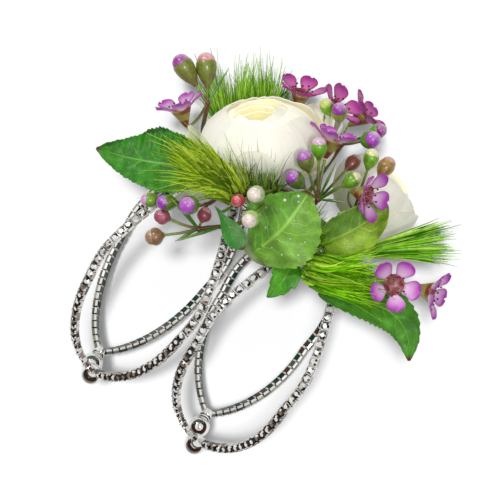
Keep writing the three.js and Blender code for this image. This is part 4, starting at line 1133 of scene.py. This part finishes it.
for name, foot, shoulders, base, bend, tip, face, *shape in leaf_rows:
    width, belly, fold, roll, teeth, tooth_depth, upper, lower = shape
    start, middle, end = spray(*base), spray(*bend), spray(*tip)
    outward = Vector(face).normalized()
    half = width * spray_reach * mm / 2
    seed = len(name) * 1.37
    upper, lower = srgb(upper), srgb(lower)

    def blade_place(across, up):
        centre = start * (1 - up) ** 2 + middle * 2 * up * (1 - up) + end * up**2
        along = ((middle - start) * (1 - up) + (end - middle) * up).normalized()
        sideways = along.cross(outward).normalized()
        out = sideways.cross(along).normalized()
        swollen = math.sin(math.pi * up**belly) ** leaf_swell if 0 < up < 1 else 0
        tooth = tooth_depth * abs(across) ** 6 * (2 * ((up * teeth) % 1) - 1)
        reach = half * max(0.03, swollen) * (1 + tooth)
        bend_angle = roll * across
        wide = math.sin(bend_angle) / roll * reach
        high = (1 - math.cos(bend_angle)) / roll * reach + abs(across) * reach * fold
        wave = noise.noise(Vector((across * 1.8, up * 5, seed)))
        high += leaf_wave * half * wave * (0.3 + abs(across))
        high += leaf_ripple * half * math.sin(up * teeth * 2.4) * abs(across)
        return centre + sideways * wide + out * high

    def blade_tone(across, up):
        colour = blend_colours(lower, upper, across * 4 + 0.5)
        return blend_colours(colour, LEAF_BROWN, (up - 0.955) / 0.03)

    blade = sheet(name, blade_columns, blade_rows, blade_place, blade_tone)
    pieces = [joined(name, [blade], blade_thickness)]
    stalk_path = stem_points(foot, shoulders, start.lerp(middle, 0.2))
    pieces.append(stem(f"{name}_stalk", stalk_path, leaf_stalk_foot, leaf_stalk_end, LEAF_STALK))
    for across, up, size in glint_drop_places if name == "round_front_leaf" else ():
        bpy.ops.mesh.primitive_uv_sphere_add(segments=12, ring_count=8, radius=size * mm)
        drop = bpy.context.object
        drop.location = blade_place(across, up) + outward * 0.1 * mm
        apply_all(drop)
        # Painted glint: each clear drop is tinted pure white.
        paint(drop.data, (1, 1, 1))
        pieces.append(drop)
    whole = joined(name, pieces)
    whole.data.materials.append(leaf_skin)
    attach(whole, "spray")
    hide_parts(name)


# Sprigs of wax flower: woody reddish stems that fork into short stalks, some ending in round
# buds with a coloured cap in a green cup, some in thin needles, the rest carrying flowers.
flower_cup_length = 4.2 * mm
stem_radius, fork_radius, branch_radius, needle_tip = 0.55, 0.7, 0.36, 0.06
bud_bow, needle_bow = Vector((0, 0, -0.03)), Vector((0, -0.04, 0.03))
flower_bow, flower_foot_cover, bud_streaks = 0.1, 0.3 * mm, 700
bud_neck, long_necks = 1.6, {"top_left_sprig": 2.2, "low_left_sprig": 0.95, "front_bud_sprig": 1.2}
# radius and height of a bud's green cup and of its coloured cap, for a bud of radius 1
cup_profile = [(0, -1.6), (0.26, -1.6), (0.34, -1.38), (0.66, -1.0), (0.89, -0.58), (0.99, -0.18)]
cup_profile += [(0.99, 0.2), (0.9, 0.42), (0.84, 0.3), (0, 0.2)]
cap_profile = [(0, 0.25), (0.84, 0.3), (0.86, 0.55), (0.74, 0.85), (0.5, 1.08), (0.22, 1.2), (0, 1.23)]
sprig_rows = (
    # name, foot, shoulders, fork, buds (x, y, z, radius, cup, cap), flowers (centre, facing),
    # needles (start or None for the fork, end, radius in mm)
    ("top_left_sprig", (-0.714, 0.194), ((-0.46, 0.04, 0.057),), (-0.54, 0, 0.217),
     ((-0.73, 0, 0.297, 0.05, "7a8230", "a11f9c"), (-0.645, 0.03, 0.357, 0.05, "76842e", "d98a8c")),
     (((-0.622, -0.1, 0.135), (-0.75, -0.1, 0.62)),), ((None, (-0.55, 0.06, 0.4), 0.35),)),
    ("low_left_sprig", (-0.262, -0.645), ((-0.1, -0.44, 0.037), (-0.1, -0.62, -0.043)),
     (-0.246, -0.7, -0.165),
     ((-0.405, -0.7, -0.21, 0.036, "a8586a", "a84c62"), (-0.258, -0.67, -0.108, 0.034, "984854", "a84e5e"),
      (-0.384, -0.72, -0.298, 0.041, "8f6c48", "a07a5c")),
     (), ((None, (-0.43, -0.76, -0.107), 0.56), (None, (-0.302, -0.76, -0.261), 0.42),
      ((-0.15, -0.65, -0.085), (-0.29, -0.77, -0.247), 0.5))),
    ("left_bud_sprig", (-0.48, -0.87), ((-0.25, -0.43, 0.02), (-0.26, -0.56, -0.043)), (-0.28, -0.62, -0.073),
     ((-0.5, -0.64, -0.193, 0.034, "6f9a2c", "d9a0cc"), (-0.43, -0.72, -0.143, 0.038, "5f7a2c", "a040b4"),
      (-0.34, -0.78, -0.083, 0.044, "5a8226", "b44cc0")),
     (), ()),
    ("front_bud_sprig", (0.119, -0.516), ((0.02, -0.38, 0.157),), (-0.045, -0.52, 0.168),
     ((-0.17, -0.74, 0.052, 0.03, "b83c44", "c84a54"), (-0.12, -0.72, 0.117, 0.04, "b8c890", "f0e2d0"),
      (-0.08, -0.8, 0.027, 0.04, "a8c46c", "f0dcd0")),
     (), ()),
    ("centre_sprig", (0.286, -0.387), ((0.12, -0.34, 0.097),), (0.13, -0.44, 0.207),
     ((-0.002, -0.46, 0.412, 0.038, "6fae22", "e0b8d0"), (-0.022, -0.52, 0.337, 0.04, "6c7a2a", "a844b0"),
      (-0.01, -0.52, 0.237, 0.04, "5f7a26", "a648b4"), (0.17, -0.3, 0.417, 0.034, "8a4a3a", "7a3c38"),
      (0.21, -0.42, 0.367, 0.036, "74ae24", "e6e0a4")),
     (((0.03, -0.4, 0.457), (-0.25, 0.05, 0.95)),),
     ((None, (0.1, -0.46, 0.397), 0.36), (None, (0.19, -0.52, 0.357), 0.36),
      (None, (0.24, -0.5, 0.277), 0.36))),
    ("top_right_sprig", (0.214, 0.065), ((0.09, 0, 0.297),), (0.09, -0.02, 0.417),
     ((-0.07, -0.135, 0.54, 0.034, "74b41c", "c6d060"), (-0.01, -0.18, 0.557, 0.04, "8a9a34", "9c3aa4"),
      (0.19, -0.12, 0.577, 0.036, "6fae24", "9a2c90"), (0.18, -0.2, 0.535, 0.044, "5f8a24", "b04cc0")),
     (((-0.2, 0.08, 0.49), (-0.3, -0.25, 0.9)), ((-0.026, -0.04, 0.547), (0.25, -0.35, 0.9)),
      ((0.1, 0.14, 0.563), (0.35, -0.05, 0.93))), ()),
    ("right_sprig", (0.714, -0.516), ((0.34, -0.34, 0.097),), (0.3, -0.34, 0.237),
     ((0.31, -0.22, 0.477, 0.04, "b08a4c", "b87850"), (0.225, -0.34, 0.487, 0.036, "78b424", "e8e4a0")),
     (((0.292, -0.54, 0.363), (0.75, -0.5, 0.35)),), ()),
    ("low_right_sprig", (0.81, -0.323), ((0.42, -0.32, 0.057),), (0.5, -0.42, 0.037), (),
     (((0.61, -0.74, 0.132), (0.12, -0.95, 0.2)), ((0.8, -0.34, 0.127), (0.9, -0.25, 0.3))),
     ((None, (0.66, -0.3, -0.083), 0.4),)),
)
WOOD_RED, STEM_LIGHT, NEEDLE_GREEN = srgb("6b3a2c"), srgb("7c9a34"), srgb("48762a")
CAP_PAINTED_SHEEN = (1, 0.95, 0.95)
bud_grain = {"Low": 0.72, "High": 1.18, "Scale": 1300}
bud_coat = {"Coat Weight": 0.25, "Coat Roughness": 0.15}
bud_skin = finish("wax_bud", None, 0.3, mottle, bud_grain, 0.02 * mm, bud_coat)


def bowed(start, end, bow):
    """The start, middle and end of a path whose bow at the middle is a share of its length."""
    return [start, (start + end) / 2 + bow * (end - start).length, end]


cup_master, cap_master = turned("bud_cup", cup_profile, 20), turned("bud_cap", cap_profile, 20)
flower_places = []
for name, foot, shoulders, fork, buds, flowers, needles in sprig_rows:
    fork = spray(*fork)
    stem_path = stem_points(foot, shoulders, fork)
    pieces = [stem(f"{name}_stem", stem_path, stem_radius, stem_radius, STEM_LIGHT, WOOD_RED)]
    bpy.ops.mesh.primitive_uv_sphere_add(
        segments=12, ring_count=8, radius=fork_radius * mm, location=fork
    )
    knot = bpy.context.object
    apply_all(knot)
    paint(knot.data, WOOD_RED)
    pieces.append(knot)
    neck = long_necks.get(name, bud_neck)
    for x, y, z, size, cup_code, cap_code in buds:
        place, radius = spray(x, y, z), size * spray_reach
        direction = (place - fork).normalized()
        for master, code in ((cup_master, cup_code), (cap_master, cap_code)):
            part = linked("bud_part", master.data.copy())
            for vertex in part.data.vertices:
                vertex.co.z *= neck / bud_neck if vertex.co.z < 0 else 1
            part.matrix_world = aimed(place, direction) @ Matrix.Scale(radius, 4)
            apply_all(part)
            colour = srgb(code)
            darker = blend_colours(colour, WOOD_RED, 0.55)

            def bud_tone(centre, normal):
                height = (centre - place).dot(direction) / (radius * mm)
                streak = noise.noise(centre * bud_streaks)
                if master is cup_master:
                    return blend_colours(colour, darker, (-height - 0.4) * 0.5 + streak)
                # The cap lightens where it faces up: a painted sheen, with pale streaks from the noise.
                return blend_colours(colour, CAP_PAINTED_SHEEN, 0.35 * max(0, normal.z) + 0.2 * streak)

            paint(part.data, bud_tone)
            pieces.append(part)
        foot_of_bud = place - direction * (neck - 0.1) * radius * mm
        path = bowed(fork, foot_of_bud, bud_bow)
        pieces.append(stem("stalk", path, branch_radius, branch_radius * 0.9, WOOD_RED, STEM_LIGHT))
    for centre, facing in flowers:
        facing = Vector(facing).normalized()
        foot_of_flower = spray(*centre) - facing * flower_cup_length
        flower_places.append((foot_of_flower, facing))
        path = bowed(fork, foot_of_flower, facing * -flower_bow)
        path[2] = path[2] - facing * flower_foot_cover
        pieces.append(stem("stalk", path, branch_radius, branch_radius, WOOD_RED, STEM_LIGHT))
    for start, end, thick in needles:
        start, end = spray(*start) if start else fork, spray(*end)
        path = bowed(start, end, needle_bow)
        pieces.append(stem("needle", path[:2], 0.6 * thick, thick, NEEDLE_GREEN))
        pieces.append(stem("needle", path[1:], thick, needle_tip, NEEDLE_GREEN, STEM_LIGHT))
    whole = joined(name, pieces)
    whole.data.materials.append(bud_skin)
    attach(whole, "spray")
    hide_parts(name)
bpy.data.objects.remove(cup_master)
bpy.data.objects.remove(cap_master)


# Open wax flowers: a tapering green and red cup with five waxy petals round a shallow disc, and
# ten curved stamens with dark heads. One flower is modelled and copied to every stalk.
WAX_DEEP, WAX_MID, WAX_PALE = srgb("a32a9c"), srgb("ba52be"), srgb("ecc4e4")
WAX_CUP, WAX_CUP_RED, WAX_DISC = srgb("989646"), srgb("7a3026"), srgb("a4606c")
STAMEN, ANTHER, PISTIL = srgb("d98ab8"), srgb("3a1218"), srgb("b04a50")
petal_inner, petal_outer, petal_half, petal_rise, petal_foot = 2.1, 5.9, 2.1, 0.82, 4.3
wax_petal_thickness = 0.22 * mm
stamens, stamen_ring, stamen_foot, stamen_bulge, anther_radius = 10, 2.1, 4.5, 0.25 * mm, 0.24 * mm
# lean and height of a stamen, in turn
stamen_kinds = ((-0.3, 1.05), (0.35, 1.35))
pistil_path = [Vector((x * mm, 0, z * mm)) for x, z in ((0, 3.7), (0.05, 4.6), (0, 5.5))]
flower_cup_profile = [(0, 0), (0.42, 0), (0.6, 0.3), (1.25, 1.8), (2.0, 3.4), (2.4, 4.2)]
flower_cup_profile += [(2.45, 4.6), (2.25, 4.8), (1.9, 4.4), (1.2, 4.1), (0.5, 4.0), (0, 4.0)]
deep_flowers, deeper = (3, 4, 5), (0.8, 0.3, 0.55)
# The wax petals glow faintly in their own colour: painted light.
wax_skin = finish("wax_petal", None, 0.34, streaks, None, 0.05 * mm, {"Emission Strength": 0.03})


def flower_cup_tone(centre, normal):
    if normal.z > 0.1:
        return blend_colours(WAX_DISC, WAX_CUP_RED, 0.4 + 2.5 * noise.noise(centre * 1500))
    return blend_colours(WAX_CUP_RED, WAX_CUP, 0.5 + 1.5 * noise.noise(centre * 500))


def wax_tone(across, up):
    edge = max(abs(across) ** 3, (up - 0.5) * 1.6)
    colour = blend_colours(WAX_PALE, WAX_MID, (up - 0.2) * 1.7)
    return blend_colours(colour, WAX_DEEP, edge * 0.8)


cup = turned("flower_cup", flower_cup_profile, 28)
paint(cup.data, flower_cup_tone)
petals = []
for i in range(5):
    turn = Matrix.Rotation(math.radians(72 * i), 3, "Z")

    def wax_place(across, up):
        opened = (1 - (1 - up) ** 1.15) * (1 - 0.05 * across**2)
        reach = petal_inner + (petal_outer - petal_inner) * opened
        round_end = math.sqrt(max(0, 1 - max(0, up - 0.45) ** 2 * 3.15))
        half_here = 0.38 + 0.7 * math.sin(math.pi / 2 * min(1, up * 1.6))
        ripple = noise.noise(Vector((across * 2.2, up * 3, i * 4.1)))
        high = petal_foot + petal_rise * (reach - petal_inner) * (1 - 0.3 * up)
        high += (0.3 + 0.25 * up) * across**2 + 0.3 * ripple * up
        return turn @ Vector((reach, across * petal_half * half_here * round_end, high)) * mm

    petals.append(sheet("wax_petal", 10, 12, wax_place, wax_tone))
flower_parts = [cup, joined("wax_petals", petals, wax_petal_thickness)]
for i in range(stamens):
    angle = math.radians((i + 0.5) * 360 / stamens)
    lean, rise = stamen_kinds[i % 2]
    outward = Vector((math.cos(angle), math.sin(angle), 0))
    root = (outward * stamen_ring + Vector((0, 0, stamen_foot))) * mm
    top = root + (outward * lean + Vector((0, 0, rise))) * mm
    bulge = (root + top) / 2 + outward * stamen_bulge
    flower_parts.append(stem("stamen", [root, bulge, top], 0.1, 0.08, STAMEN))
    bpy.ops.mesh.primitive_ico_sphere_add(subdivisions=2, radius=anther_radius, location=top)
    anther = bpy.context.object
    apply_all(anther)
    paint(anther.data, ANTHER)
    flower_parts.append(anther)
flower_parts.append(stem("pistil", pistil_path, 0.16, 0.1, PISTIL))
flower_master = joined("wax_flower_master", flower_parts)
for i, (foot_of_flower, facing) in enumerate(flower_places, 1):
    flower = linked(f"wax_flower_{i}_copy", flower_master.data.copy())
    spin = Matrix.Rotation(math.radians(40 * (i - 1)), 4, "Z")
    flower.matrix_world = aimed(foot_of_flower, facing) @ spin
    apply_all(flower)
    for corner in tint_layer(flower.data).data if i in deep_flowers else ():
        red, green, blue, _ = corner.color
        if blue > green * 1.2:
            corner.color = (red * deeper[0], green * deeper[1], blue * deeper[2], 1)
    flower.data.materials.append(wax_skin)
    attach(flower, "spray")
    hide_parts(f"wax_flower_{i}")
bpy.data.objects.remove(flower_master)
